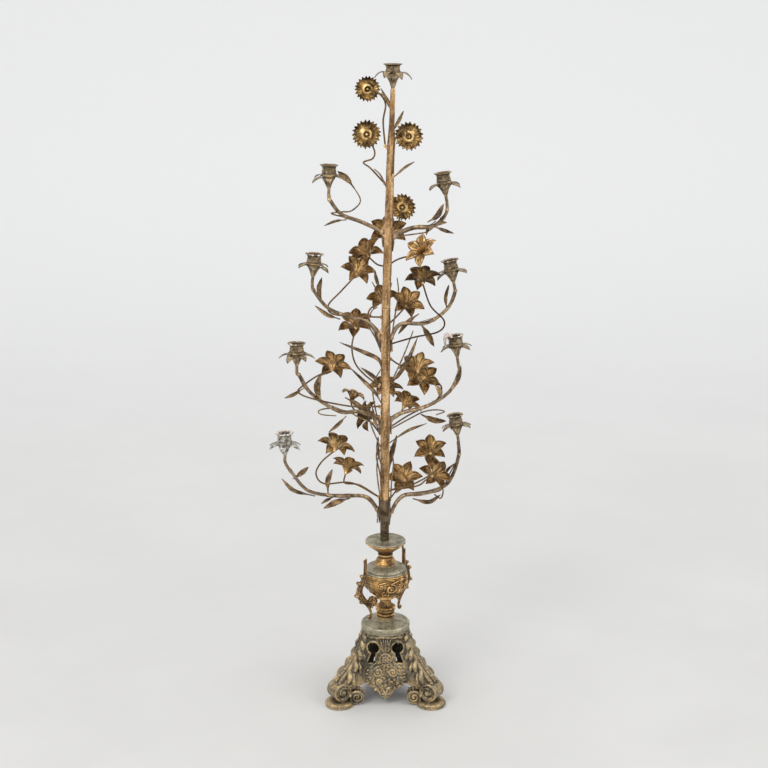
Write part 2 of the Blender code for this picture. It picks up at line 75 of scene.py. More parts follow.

# %% [markdown]
# ## Small geometry tools
# Castings and turned parts are easiest to think of as rows of points, so most shapes here are
# grids of points in numpy: a turned profile, a tube swept along a route, a petal. Each helper
# returns a shape, which is a pair of a point array and a face list. A fourth number on a point
# says how dark the finish goes there: near a cut edge, and where shade is painted in.


# %% Grids, tubes and turned profiles
def grid(points, wrap=False):
    """Quads over an array of rows x columns x 3; wrap joins the last column to the first."""
    rows, cols = points.shape[:2]
    last = cols if wrap else cols - 1
    i, j = np.meshgrid(np.arange(rows - 1), np.arange(last), indexing="ij")
    k = (j + 1) % cols
    quads = np.stack([i * cols + j, i * cols + k, (i + 1) * cols + k, (i + 1) * cols + j], -1)
    return points.reshape(-1, points.shape[-1]), quads.reshape(-1, 4).tolist()


def joined(shapes):
    points, faces, offset = [], [], 0
    for verts, quads in shapes:
        spare = 4 - verts.shape[1]
        points.append(np.pad(verts, ((0, 0), (0, spare))))
        faces += [[index + offset for index in face] for face in quads]
        offset += len(verts)
    return np.concatenate(points), faces


def smooth_line(points, count):
    """count points on a Catmull-Rom curve through the given ones; extra columns ride along."""
    knots = np.asarray(points, float)
    padded = np.vstack([2 * knots[0] - knots[1], knots, 2 * knots[-1] - knots[-2]])
    where = np.linspace(0, len(knots) - 1, count)
    start = np.minimum(where.astype(int), len(knots) - 2)
    t = (where - start)[:, None]
    a, b, c, d = (padded[start + n] for n in range(4))
    return 0.5 * (2 * b + (c - a) * t + (2 * a - 5 * b + 4 * c - d) * t ** 2
                  + (3 * b - a - 3 * c + d) * t ** 3)


def tube(route, radii, sides=10, count=None):
    """A closed round strand along a smooth route; radii are spread evenly over it."""
    count = count or max(6, 5 * (len(route) - 1))
    path = smooth_line(route, count)
    spread = np.interp(np.linspace(0, 1, count), np.linspace(0, 1, len(radii)), radii)
    along = np.gradient(path, axis=0)
    along /= np.linalg.norm(along, axis=1)[:, None] + 1e-9
    side = np.cross(along[0], [0.31, 0.17, 0.93])
    rows = []
    turns = np.linspace(0, 2 * pi, sides, endpoint=False)
    for spot, way, radius in zip(path, along, spread):
        side = side - way * np.dot(side, way)
        side /= np.linalg.norm(side) + 1e-9
        other = np.cross(way, side)
        rows.append(spot + radius * (np.outer(np.cos(turns), side) + np.outer(np.sin(turns), other)))
    rows = [np.repeat(path[:1], sides, 0)] + rows + [np.repeat(path[-1:], sides, 0)]
    return grid(np.array(rows), wrap=True)


def turned(profile, sides=72, wave=None):
    """A turned surface from (radius, height) or (radius, height, rim) points.

    wave(angles, height) scales the radius.
    """
    turns = np.linspace(0, 2 * pi, sides, endpoint=False)
    rows = []
    for radius, height, *rim in profile:
        reach = radius * (wave(turns, height) if wave else np.ones(sides))
        level = [np.full(sides, value) for value in (height, *rim)]
        rows.append(np.stack([reach * np.cos(turns), reach * np.sin(turns)] + level, -1))
    return grid(np.array(rows), wrap=True)


def blob(centre, radii, turn=None, sides=10):
    """An ellipsoid, for beads, berries, petals in relief and drops of solder."""
    polar_angles = np.linspace(0, pi, sides // 2 + 2)
    line = np.stack([np.sin(polar_angles), np.cos(polar_angles)], -1)
    points, faces = turned(line, sides)
    points = points * np.asarray(radii, float)
    if turn is not None:
        points = points @ np.asarray(turn.to_3x3()).T
    return points + np.asarray(centre, float), faces


def moved(shape, matrix):
    points, faces = shape
    points = points.copy()
    points[:, :3] = points[:, :3] @ np.asarray(matrix.to_3x3()).T + np.asarray(matrix.translation)
    return points, faces


def stood(at, front):
    """The matrix that turns a shape's +Z to front and stands it at a spot."""
    turn = Vector(front).normalized().to_track_quat("Z", "Y").to_matrix().to_4x4()
    return Matrix.Translation(Vector(at)) @ turn


def sheet(rows, thickness):
    """A closed thin plate over a grid of middle points, marked dark along its free edges."""
    count, width = rows.shape[:2]
    normal = np.cross(np.gradient(rows, axis=0), np.gradient(rows, axis=1))
    normal /= np.linalg.norm(normal, axis=2)[..., None] + 1e-9
    normal *= thickness / 2
    side = np.abs(np.linspace(-1, 1, width))[None, :]
    tip = np.linspace(0, 1, count)[:, None]
    rim = np.clip(np.maximum((side - 0.76) / 0.24, (tip - 0.88) / 0.12), 0, 1)[..., None]
    top = np.concatenate([rows + normal, rim], axis=2)
    under = np.concatenate([rows - normal, rim], axis=2)
    points, faces = grid(np.concatenate([top, under[:, ::-1]], axis=1), wrap=True)
    for start in (0, (count - 1) * 2 * width):
        for j in range(width - 1):
            faces.append([start + j, start + j + 1, start + 2 * width - 2 - j, start + 2 * width - 1 - j])
    return points, faces


def polar(radius, degrees, height=0.0):
    angle = radians(degrees)
    return np.array([radius * cos(angle), radius * sin(angle), height])


def facing(azimuth, elevation):
    flat = cos(radians(elevation))
    return Vector(polar(flat, azimuth, sin(radians(elevation))))


# %% [markdown]
# A shape becomes a mesh object in metres, with doubled points merged and faces turned outwards.
# Modifiers and node trees are always applied before a piece is handed over, so that each piece
# is a plain mesh. Each point also stores how far it stands above its surroundings, so that a
# finish can be bright on raised edges and dark in hollows, with dirt and painted shade.


# %% From a shape to a finished mesh
def put_in_scene(name, data):
    made = bpy.data.objects.new(name, data)
    bpy.context.scene.collection.objects.link(made)
    return made


def store(mesh, name, values):
    """Keeps one number for each point of a mesh."""
    layer = mesh.attributes.new(name, "FLOAT", "POINT")
    layer.data.foreach_set("value", np.asarray(values, np.float32))


def raw_object(name, shape, centre=True):
    """A mesh object in metres; centre puts it on the rod's line."""
    points, faces = shape
    mesh = bpy.data.meshes.new(name)
    offset = np.asarray(AXIS) if centre else 0.0
    mesh.from_pydata((points[:, :3] * MM + offset).tolist(), [], faces)
    if points.shape[1] == 4 and points[:, 3].any():
        store(mesh, "rim", points[:, 3])
    mesh.validate()
    bm = bmesh.new()
    bm.from_mesh(mesh)
    bmesh.ops.remove_doubles(bm, verts=bm.verts, dist=0.00001)
    bmesh.ops.recalc_face_normals(bm, faces=bm.faces)
    bm.to_mesh(mesh)
    bm.free()
    return put_in_scene(name, mesh)


def settled(obj):
    """The object's evaluated result as one plain mesh object of the same name."""
    bpy.context.view_layer.update()
    graph = bpy.context.evaluated_depsgraph_get()
    mesh = bpy.data.meshes.new_from_object(obj.evaluated_get(graph))
    name = obj.name
    bpy.data.objects.remove(obj, do_unlink=True)
    mesh.name = name
    return put_in_scene(name, mesh)


def places_of(mesh):
    places = np.empty(len(mesh.vertices) * 3, np.float32)
    mesh.vertices.foreach_get("co", places)
    return places.reshape(-1, 3).astype(float)


def shape_of(obj):
    """Reads a made object's mesh back as a shape in mm, and removes the object."""
    mesh = obj.data
    points = places_of(mesh) / MM
    rim = mesh.attributes.get("rim")
    if rim:
        values = np.empty(len(points), np.float32)
        rim.data.foreach_get("value", values)
        points = np.column_stack([points, values])
    faces = [list(polygon.vertices) for polygon in mesh.polygons]
    bpy.data.objects.remove(obj, do_unlink=True)
    bpy.data.meshes.remove(mesh)
    return points, faces


def neighbour_sum(mesh, values):
    edges = np.empty(len(mesh.edges) * 2, np.int32)
    mesh.edges.foreach_get("vertices", edges)
    a, b = edges.reshape(-1, 2).T
    total = np.zeros_like(values)
    np.add.at(total, a, values[b])
    np.add.at(total, b, values[a])
    return total


def mark_relief(obj, rounds=4):
    """Writes how far each point stands above or below its surroundings, for wear, and for dirt and painted
    shade in hollows.
    """
    mesh = obj.data
    count = len(mesh.vertices)
    places = places_of(mesh)
    normals = np.empty(count * 3, np.float32)
    mesh.vertex_normals.foreach_get("vector", normals)
    normals = normals.reshape(-1, 3)
    links = neighbour_sum(mesh, np.ones((count, 1)))
    blurred = places.copy()
    for _ in range(rounds):
        blurred = 0.4 * blurred + 0.6 * neighbour_sum(mesh, blurred) / np.maximum(links, 1)
    height = ((places - blurred) * normals).sum(1) / MM
    spread = np.percentile(np.abs(height), 90) + 1e-6
    store(mesh, "relief", np.clip(height / spread, -1, 1))


def fused(name, shapes, voxel, keep=1.0, smooth=2):
    """Shapes melted into one skin, as in a casting, then thinned where it is plain."""
    obj = raw_object(name, joined(shapes))
    melt = obj.modifiers.new("melt", "REMESH")
    melt.mode = "VOXEL"
    melt.voxel_size = voxel * MM
    soften = obj.modifiers.new("soften", "SMOOTH")
    soften.factor = 0.5
    soften.iterations = smooth
    if keep < 1:
        thin = obj.modifiers.new("thin", "DECIMATE")
        thin.ratio = keep
    made = settled(obj)
    made.data.validate()
    made.data.shade_smooth()
    mark_relief(made, rounds=6)
    print(name, len(made.data.polygons), "faces")
    return made


def hand_over(obj, finish, body, slot, *nodes, crisp=None):
    """Gives a piece its finish and its body, and hides the CAD nodes it stands for; slot is not used."""
    if finish is not None:
        obj.data.materials.clear()
        obj.data.materials.append(finish)
    obj.data.shade_smooth()
    if crisp:
        obj.data.set_sharp_from_angle(angle=radians(crisp))
    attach(obj, body)
    if nodes:
        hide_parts(*nodes)
    return obj


def finished(name, shapes, finish, body, slot, *nodes, rounds=4, crisp=50):
    """A piece made of plain shapes, with its relief marked, handed over."""
    obj = raw_object(name, joined(shapes))
    mark_relief(obj, rounds=rounds)
    return hand_over(obj, finish, body, slot, *nodes, crisp=crisp)


# %% [markdown]
# ## Finishes
# Old gilding is never one colour. The gold stays bright on raised edges, goes brown where
# hands and candle smoke reached it, and is nearly black in the hollows, with dirt and painted
# shade. All the metals here share one shader group that mixes four colours by noise, by the
# relief stored on each point and by the dark marks that some points carry. Each material then
# sets its own colours, so that gilding, bronzed arms and bare zinc stay different metals.


# %% The shared group for aged metal
def link(start, end):
    """Joins two sockets of one node tree."""
    end.id_data.links.new(start, end)


def group_input(tree, kind, name):
    return tree.interface.new_socket(name, in_out="INPUT", socket_type=kind)


def group_output(tree, kind, name):
    return tree.interface.new_socket(name, in_out="OUTPUT", socket_type=kind)


def set_or_link(socket, value):
    """Sets a plain value on a socket, or joins another socket to it."""
    if isinstance(value, (int, float, tuple)):
        socket.default_value = value
    else:
        link(value, socket)


def add_noise(tree, coordinates, scale, detail, rough=0.55, offset=(0, 0, 0)):
    shift = tree.nodes.new("ShaderNodeMapping")
    shift.inputs["Location"].default_value = offset
    link(coordinates, shift.inputs["Vector"])
    made = tree.nodes.new("ShaderNodeTexNoise")
    made.inputs["Detail"].default_value = detail
    made.inputs["Roughness"].default_value = rough
    link(shift.outputs["Vector"], made.inputs["Vector"])
    set_or_link(made.inputs["Scale"], scale)
    return made.outputs["Fac"]


def add_math(tree, operation, first, second, clamp=False):
    made = tree.nodes.new("ShaderNodeMath")
    made.operation = operation
    made.use_clamp = clamp
    for socket, value in zip(made.inputs, (first, second)):
        set_or_link(socket, value)
    return made.outputs[0]


def add_range(tree, value, low, high, to_low=0.0, to_high=1.0):
    made = tree.nodes.new("ShaderNodeMapRange")
    made.interpolation_type = "SMOOTHSTEP"
    link(value, made.inputs["Value"])
    ends = (low, high, to_low, to_high)
    for name, end in zip(("From Min", "From Max", "To Min", "To Max"), ends):
        made.inputs[name].default_value = end
    return made.outputs["Result"]


def add_mix(tree, factor, first, second):
    made = tree.nodes.new("ShaderNodeMix")
    made.data_type = "RGBA"
    for number, value in ((0, factor), (6, first), (7, second)):
        set_or_link(made.inputs[number], value)
    return made.outputs[2]


def add_attribute(tree, name):
    made = tree.nodes.new("ShaderNodeAttribute")
    made.attribute_name = name
    return made.outputs["Fac"]


def aged_metal_group():
    tree = bpy.data.node_groups.new("aged_metal", "ShaderNodeTree")
    for name in ("Bright", "Body", "Dark", "Bloom"):
        group_input(tree, "NodeSocketColor", name)
    for name in ("Patch Size", "Stretch", "Wear", "Dirt", "Bloom Amount"):
        group_input(tree, "NodeSocketFloat", name)
    group_output(tree, "NodeSocketColor", "Color")
    group_output(tree, "NodeSocketFloat", "Roughness")
    group_output(tree, "NodeSocketFloat", "Height")
    put = tree.nodes.new("NodeGroupInput").outputs
    out = tree.nodes.new("NodeGroupOutput").inputs
    place = tree.nodes.new("ShaderNodeTexCoord").outputs["Object"]
    drawn = tree.nodes.new("ShaderNodeCombineXYZ")
    drawn.inputs["X"].default_value = 1.0
    drawn.inputs["Y"].default_value = 1.0
    link(put["Stretch"], drawn.inputs["Z"])
    along = tree.nodes.new("ShaderNodeMapping")
    link(place, along.inputs["Vector"])
    link(drawn.outputs[0], along.inputs["Scale"])
    relief = add_attribute(tree, "relief")
    rim = add_attribute(tree, "rim")

    patches = add_noise(tree, along.outputs[0], put["Patch Size"], 4.0)
    grain = add_noise(tree, place, 900.0, 3.0, 0.6, offset=(3, 1, 7))
    specks = add_noise(tree, place, 380.0, 2.0, 0.7, offset=(9, 4, 2))
    raised = add_range(tree, relief, 0.05, 0.8)
    # Hollows go dark through this mask: dirt and painted shade.
    sunk = add_range(tree, relief, -0.75, 0.0, 1.0, 0.0)
    mottle = add_math(tree, "ADD", add_math(tree, "MULTIPLY", patches, 0.75),
                      add_math(tree, "MULTIPLY", specks, 0.35))

    body = add_mix(tree, add_range(tree, mottle, 0.42, 0.66), put["Dark"], put["Body"])
    kept = add_noise(tree, place, 130.0, 3.0, 0.6, offset=(2, 8, 1))
    gilded = add_range(tree, kept, 0.38, 0.60, 0.15, 1.0)
    worn = add_math(tree, "MULTIPLY", add_math(tree, "MULTIPLY", raised, put["Wear"]), gilded)
    shine = add_range(tree, mottle, 0.56, 0.78)
    bright = add_math(tree, "ADD", worn, add_math(tree, "MULTIPLY", shine, 0.8), clamp=True)
    colour = add_mix(tree, bright, body, put["Bright"])
    # Dirt and painted shade: hollows and marked points mix towards the dark colour.
    grime_and_shade = add_math(tree, "MULTIPLY", add_math(tree, "MAXIMUM", sunk, rim), put["Dirt"], clamp=True)
    colour = add_mix(tree, grime_and_shade, colour, put["Dark"])
    dust = add_range(tree, add_noise(tree, place, 150.0, 5.0, 0.62, offset=(5, 5, 5)), 0.52, 0.66)
    dust = add_math(tree, "MULTIPLY", dust, put["Bloom Amount"], clamp=True)
    colour = add_mix(tree, dust, colour, put["Bloom"])
    link(colour, out["Color"])

    dull = add_math(tree, "MULTIPLY", add_math(tree, "MAXIMUM", grime_and_shade, dust), 0.25)
    rough = add_math(tree, "ADD", add_range(tree, grain, 0.3, 0.7, 0.30, 0.48), dull)
    link(rough, out["Roughness"])
    height = add_math(tree, "ADD", add_math(tree, "MULTIPLY", grain, 0.35), specks)
    link(height, out["Height"])
    return tree


AGED = aged_metal_group()


# %% [markdown]
# Every finish sets the constants on the Principled sockets themselves and takes only colour,
# roughness and bump from the group. Bump strength stays low: castings are soft to the touch,
# and the petals get their ribs from real geometry.


# %% The finishes
def metal(name, bright, body, dark, bloom, patch=55.0, stretch=1.0, wear=0.8, dirt_and_shade=0.8,
          bloom_amount=0.0, metallic=0.85, bump=0.25, bump_size=0.0006):
    made = bpy.data.materials.new(name)
    made.use_nodes = True
    tree = made.node_tree
    shader = tree.nodes["Principled BSDF"]
    aged = tree.nodes.new("ShaderNodeGroup")
    aged.node_tree = AGED
    colours = (("Bright", bright), ("Body", body), ("Dark", dark), ("Bloom", bloom))
    for socket, colour in colours:
        aged.inputs[socket].default_value = (*colour, 1)
    amounts = (("Patch Size", patch), ("Stretch", stretch), ("Wear", wear), ("Dirt", dirt_and_shade),
               ("Bloom Amount", bloom_amount))
    for socket, amount in amounts:
        aged.inputs[socket].default_value = amount
    shader.inputs["Metallic"].default_value = metallic
    link(aged.outputs["Color"], shader.inputs["Base Color"])
    link(aged.outputs["Roughness"], shader.inputs["Roughness"])
    ripple = tree.nodes.new("ShaderNodeBump")
    ripple.inputs["Strength"].default_value = bump
    ripple.inputs["Distance"].default_value = bump_size
    link(aged.outputs["Height"], ripple.inputs["Height"])
    link(ripple.outputs["Normal"], shader.inputs["Normal"])
    return made


CHALK = (0.42, 0.40, 0.35)
VERDIGRIS = (0.25, 0.24, 0.165)
GILT = metal("worn_gilding", (0.95, 0.64, 0.31), (0.57, 0.33, 0.12), (0.085, 0.044, 0.017), VERDIGRIS,
             patch=70, wear=1.0, bloom_amount=0.25)
# A darker copy of the worn gilding, for flowers that stand in shade: painted shade.
SHADED_GILT = metal("smoked_gilding", (0.74, 0.46, 0.19), (0.31, 0.17, 0.062), (0.045, 0.024, 0.011), VERDIGRIS,
                  patch=80, wear=1.0, dirt_and_shade=0.9, bloom_amount=0.3)
STEM_GILT = metal("stem_gilding", (0.97, 0.68, 0.39), (0.55, 0.32, 0.135), (0.13, 0.065, 0.026), VERDIGRIS,
                  patch=85, stretch=0.2, bloom_amount=0.15, bump=0.5, bump_size=0.001)
DAISY_GILT = metal("daisy_gilding", (1.0, 0.72, 0.33), (0.66, 0.41, 0.145), (0.055, 0.026, 0.01), VERDIGRIS,
                   patch=90, wear=1.0, bloom_amount=0.15)
BRONZE = metal("dark_bronze", (0.60, 0.43, 0.26), (0.225, 0.15, 0.085), (0.05, 0.033, 0.02), CHALK,
               patch=80, wear=0.9, bloom_amount=0.25)
LEAF = metal("leaf_bronze", (0.64, 0.43, 0.21), (0.26, 0.16, 0.075), (0.05, 0.032, 0.018), CHALK,
             patch=60, bloom_amount=0.3)
CUP = metal("smoked_brass", (0.66, 0.49, 0.27), (0.34, 0.25, 0.14), (0.085, 0.06, 0.038), CHALK,
            patch=110, wear=0.7, dirt_and_shade=0.9, bloom_amount=0.45)
WAXED_CUP = metal("waxed_brass", (0.66, 0.62, 0.54), (0.42, 0.39, 0.32), (0.07, 0.06, 0.042),
                  (0.72, 0.70, 0.64), patch=160, wear=0.6, bloom_amount=1.0, metallic=0.3)
SPELTER = metal("oxidised_zinc", (0.50, 0.44, 0.31), (0.33, 0.29, 0.19), (0.13, 0.11, 0.065),
                (0.43, 0.42, 0.33), patch=60, wear=0.5, bloom_amount=0.5, metallic=0.45)
GILT_CASTING = metal("gilt_casting", (0.64, 0.46, 0.23), (0.30, 0.225, 0.13), (0.05, 0.041, 0.028),
                     (0.25, 0.25, 0.19), patch=30, wear=0.75, bloom_amount=0.8, metallic=0.6, bump=0.35)
URN_GILT = metal("urn_gilding", (0.92, 0.58, 0.23), (0.44, 0.25, 0.085), (0.065, 0.034, 0.014), VERDIGRIS,
                 patch=60, wear=0.9, dirt_and_shade=0.9, bloom_amount=0.45)
HANDLE_GILT = metal("handle_gilding", (0.56, 0.35, 0.16), (0.22, 0.13, 0.06), (0.04, 0.024, 0.013), VERDIGRIS,
                    patch=70, wear=0.9, bloom_amount=0.35)
FERRULE = metal("ferrule_bronze", (0.32, 0.23, 0.14), (0.17, 0.12, 0.07), (0.055, 0.036, 0.022), CHALK,
                patch=60, wear=0.6, dirt_and_shade=0.6)
STEEL = metal("rod_steel", (0.45, 0.44, 0.42), (0.28, 0.26, 0.24), (0.12, 0.08, 0.05), CHALK,
              patch=80, wear=0.4, dirt_and_shade=0.6)
print(len(bpy.data.materials), "finishes")


# %% [markdown]
# Candle wax is the one finish that isn't metal: a pale, slightly translucent body with a soft
# surface. It gets its own short material.


# %% Wax
def wax_finish():
    made = bpy.data.materials.new("old_wax")
    made.use_nodes = True
    tree = made.node_tree
    shader = tree.nodes["Principled BSDF"]
    place = tree.nodes.new("ShaderNodeTexCoord").outputs["Object"]
    clouds = add_noise(tree, place, 220.0, 4.0)
    colour = add_mix(tree, add_range(tree, clouds, 0.35, 0.7), (0.56, 0.46, 0.40, 1), (0.82, 0.77, 0.71, 1))
    link(colour, shader.inputs["Base Color"])
    shader.inputs["Roughness"].default_value = 0.45
    shader.inputs["Subsurface Weight"].default_value = 0.15
    shader.inputs["Subsurface Scale"].default_value = 0.002
    return made


WAX = wax_finish()
print("finish", WAX.name)

# %% [markdown]
# ## The stage
# A pale studio floor rises into a pale wall in one sweep, so no horizon shows. Two large soft
# lamps and a bright sky give the even light that shows old metal best. The camera stands
# 2.6 m in front of the rod's line, a little above the top light, and looks down 15 degrees.


# %% The studio sweep
SWEEP_RADIUS = 3.5
SWEEP_BACK = 2.2
SWEEP_FRONT = -4.0
SWEEP_HALF = 6.0
SWEEP_TOP = 6.0
SINK = 0.0005
bend = np.linspace(0, pi / 2, 40)
sweep_line = [(SWEEP_FRONT, 0)]
sweep_line += [(SWEEP_BACK + SWEEP_RADIUS * sin(a), SWEEP_RADIUS * (1 - cos(a))) for a in bend]
sweep_line.append((SWEEP_BACK + SWEEP_RADIUS, SWEEP_TOP))
sweep_points = np.array([[(x, y, z - SINK) for x in (-SWEEP_HALF, SWEEP_HALF)] for y, z in sweep_line])
points, faces = grid(sweep_points)
floor_mesh = bpy.data.meshes.new("studio_sweep")
floor_mesh.from_pydata(points.tolist(), [], faces)
floor_mesh.shade_smooth()
floor = put_in_scene("studio_sweep", floor_mesh)

plaster = bpy.data.materials.new("studio_plaster")
plaster.use_nodes = True
tree = plaster.node_tree
shader = tree.nodes["Principled BSDF"]
ground = tree.nodes.new("ShaderNodeTexCoord").outputs["Object"]
clouds = add_noise(tree, ground, 3.0, 6.0)
distance = tree.nodes.new("ShaderNodeSeparateXYZ")
link(ground, distance.inputs[0])
tint = add_mix(tree, add_range(tree, clouds, 0.3, 0.7), (0.63, 0.622, 0.602, 1), (0.66, 0.652, 0.632, 1))
# Painted light: the sweep's colour grows paler towards the back wall, so the wall looks brighter lit than the
# floor.
painted_light_back = add_range(tree, distance.outputs["Y"], -0.4, 4.2)
tint = add_mix(tree, painted_light_back, tint, (0.87, 0.868, 0.862, 1))
link(tint, shader.inputs["Base Color"])
shader.inputs["Roughness"].default_value = 0.8
shader.inputs["Specular IOR Level"].default_value = 0.1
floor_mesh.materials.append(plaster)
floor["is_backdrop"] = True
print("sweep has", len(faces), "faces")

# %% [markdown]
# The sky is nearly white at the horizon and a little bluer overhead. The lamps are wide discs,
# so their shadows stay soft. The largest stands at the left, in front.


# %% Sky and lamps
world = bpy.data.worlds.new("studio_sky")
world.use_nodes = True
sky = world.node_tree
background = sky.nodes["Background"]
height = sky.nodes.new("ShaderNodeSeparateXYZ")
link(sky.nodes.new("ShaderNodeTexCoord").outputs["Generated"], height.inputs[0])
overhead = add_range(sky, height.outputs["Z"], -0.1, 0.75)
sky_colour = add_mix(sky, overhead, (0.98, 0.98, 0.98, 1), (0.84, 0.85, 0.87, 1))
link(sky_colour, background.inputs["Color"])
background.inputs["Strength"].default_value = 1.0
bpy.context.scene.world = world
bpy.context.scene.view_settings.view_transform = "Standard"

# Each lamp: its place and its width in metres, and its power in watts.
LAMPS = {"key": ((-1.6, -2.2, 2.9), 1.8, 40), "fill": ((2.4, -1.2, 2.4), 2.2, 20),
         "top": ((0.2, 0.6, 3.4), 2.0, 8)}
AIM_HEIGHT = 0.55
for label, (spot, size, power) in LAMPS.items():
    lamp = bpy.data.lights.new(f"{label}_light", "AREA")
    lamp.shape = "DISK"
    lamp.size = size
    lamp.energy = power
    lamp_object = put_in_scene(f"{label}_light", lamp)
    lamp_object.location = Vector(spot)
    aim = AXIS + Vector((0, 0, AIM_HEIGHT)) - lamp_object.location
    lamp_object.rotation_euler = aim.to_track_quat("-Z", "Y").to_euler()
print(len(LAMPS), "lamps")


# %% The camera
CAMERA_REACH = 2.60
CAMERA_SIDE = -0.0026
CAMERA_HEIGHT = 1.2815
CAMERA_PITCH = 15.0
camera = bpy.data.cameras.new("camera")
camera.lens = 72.66
camera.sensor_width = 36.0
camera_object = put_in_scene("camera", camera)
camera_object.location = AXIS + Vector((CAMERA_SIDE, -CAMERA_REACH, CAMERA_HEIGHT))
camera_object.rotation_euler = (radians(90 - CAMERA_PITCH), 0, 0)
bpy.context.scene.camera = camera_object
print("camera at", [round(v, 3) for v in camera_object.location])

# %% [markdown]
# ## Where the bouquet's pieces run
# These are the same routes as in the CAD model, in millimetres from the rod's line. Each light
# has an arm that leaves the stem at an angle and a height, and a rim that leans a little, since
# no two arms of an old candelabrum stand alike. Each flower faces an azimuth and an elevation.


# %% Routes and places
# Each light: the angle and height where its arm leaves the stem, the arm's route, then the rim's
# centre and the lean of the cup.
ARM_LIGHTS = {
    "left_1": (162, 354, [(-37, -4, 380), (-86, -18, 386), (-135, -28, 399), (-163, -33, 434)],
        (-175, -35, 507), (-0.02, 0, 1)),
    "right_1": (30, 349, [(31, 20, 373), (75, 55, 367), (115, 90, 374), (134, 105, 418)], (126, 105, 499),
        (-0.14, 0, 1)),
    "left_2": (162, 522, [(-46, -4, 536), (-81, -12, 539), (-127, -22, 573), (-147, -25, 606)],
        (-152, -25, 664), (0, 0, 1)),
    "right_2": (34, 519, [(32, 20, 528), (73, 45, 532), (113, 70, 551), (131, 82, 584)], (123, 84, 652),
        (-0.13, 0.02, 1)),
    "left_3": (165, 672, [(-32, 0, 696), (-67, -6, 707), (-99, -12, 723), (-121, -16, 752)],
        (-120, -16, 817), (0.08, 0, 1)),
    "right_3": (36, 667, [(27, 15, 688), (72, 30, 687), (108, 45, 709), (121, 50, 738)], (111, 50, 794),
        (-0.19, 0, 1)),
    "left_4": (160, 850, [(-40, 0, 868), (-74, -6, 882), (-92, -10, 904)], (-94, -10, 966), (0.02, 0, 1)),
    "right_4": (24, 843, [(47, 15, 856), (82, 28, 857), (103, 37, 876)], (97, 38, 947), (-0.15, 0, 1)),
}
ARM_PARTS = ("angle", "height", "route", "rim", "lean")
ARM_LIGHTS = {label: dict(zip(ARM_PARTS, parts)) for label, parts in ARM_LIGHTS.items()}

# Flowers of one node share a root, (angle, height). Each head: where it stands, the azimuth and
# elevation in degrees that it faces, its size, and its wire's route.
DAISY_SPRAYS = {
    "daisy_top": ((182, 996), [
        ((-30, 10, 1089), (95, 5), 20, [(-4, 3, 1036), (0, 4, 1064), (-10, 3, 1081)])]),
    "daisy_left": ((170, 934), [
        ((-32, 12, 1014), (100, 5), 23, [(-25, -3, 959), (-37, -5, 969), (-22, -4, 975), (-18, 0, 985),
         (-23, 3, 998)])]),
    "daisy_right": ((300, 948), [
        ((39, 20, 1010), (82, 5), 23, [(13, -15, 985), (15, -15, 1005), (23, -9, 1020), (33, 0, 1022)])]),
    "daisy_low": ((50, 850), [((29, 30, 889), (75, 5), 22, [(21, 16, 862)])]),
}
LILY_SPRAYS = {
    "lilies_crown": ((95, 790), [
        ((4, 36, 846), (90, 24), 31, [(6, 18, 806)]),
        ((-34, 36, 811), (115, 32), 29, [(-14, 18, 792)]),
        ((62, 24, 815), (236, 38), 28, [(20, 20, 800), (42, 34, 804), (60, 40, 806)])]),
    "lily_upper_left": ((140, 702), [
        ((-47, 26, 780), (75, 25), 28, [(-60, 12, 703), (-92, 8, 708), (-98, 4, 724), (-76, 6, 748)])]),
    "lily_upper_right": ((75, 652), [
        ((64, 34, 766), (90, 40), 28, [(48, 16, 664), (92, 26, 672), (102, 30, 690), (78, 26, 718)])]),
    "lily_middle_right": ((58, 690), [((38, 34, 722), (80, 15), 27, [(20, 16, 702)])]),
    "lily_middle_back": ((110, 640), [
        ((-4, 50, 728), (110, 25), 27, [(-16, 26, 664), (-30, 32, 700), (-20, 36, 716)])]),
    "lily_middle_left": ((165, 580), [
        ((-52, 14, 690), (95, 28), 28, [(-37, 5, 601), (-53, 5, 622), (-58, 2, 652)])]),
    "lily_outer_left": ((195, 545), [
        ((-91, 2, 618), (80, 25), 28, [(-60, -26, 552), (-124, -36, 568), (-150, -34, 580),
         (-138, -10, 588), (-116, -6, 602)])]),
    "lily_stem_right": ((35, 628), [((55, 34, 607), (95, 25), 28, [(24, 14, 616)])]),
    "lily_outer_right": ((70, 500), [
        ((66, 64, 579), (75, 15), 29, [(40, 44, 515), (88, 66, 535), (100, 66, 560), (84, 54, 578)])]),
    "lilies_centre_right": ((72, 514), [
        ((0, 50, 566), (85, 40), 27, [(4, 22, 532)]),
        ((36, 38, 541), (60, 40), 27, [(22, 22, 520)])]),
    "lilies_centre_left": ((150, 494), [
        ((-57, 30, 556), (20, 70), 20, [(-30, 16, 516), (-54, 26, 530)]),
        ((-33, 42, 515), (150, 5), 27, [(-14, 22, 500)])]),
    "lilies_lower_left": ((178, 378), [
        ((-86, -4, 475), (72, 34), 29, [(-60, 6, 402), (-108, -4, 404), (-122, -10, 424),
         (-112, -10, 446)]),
        ((-67, 12, 429), (68, 42), 28, [(-46, 6, 398), (-72, 6, 402)])]),
    "lily_lower_right": ((60, 366), [((33, 38, 401), (95, 5), 29, [(20, 20, 384)])]),
    "lilies_lower_outer": ((40, 388), [
        ((80, 44, 451), (90, 10), 28, [(52, 20, 396), (96, 30, 424)]),
        ((90, 68, 398), (60, 5), 28, [(56, 30, 388), (72, 50, 392)])]),
}
HEAD_PARTS = ("at", "face", "size", "route")


def named_heads(sprays):
    """The same sprays with a name on each value of a head."""
    return {name: {"root": root, "heads": [dict(zip(HEAD_PARTS, head)) for head in heads]}
            for name, (root, heads) in sprays.items()}


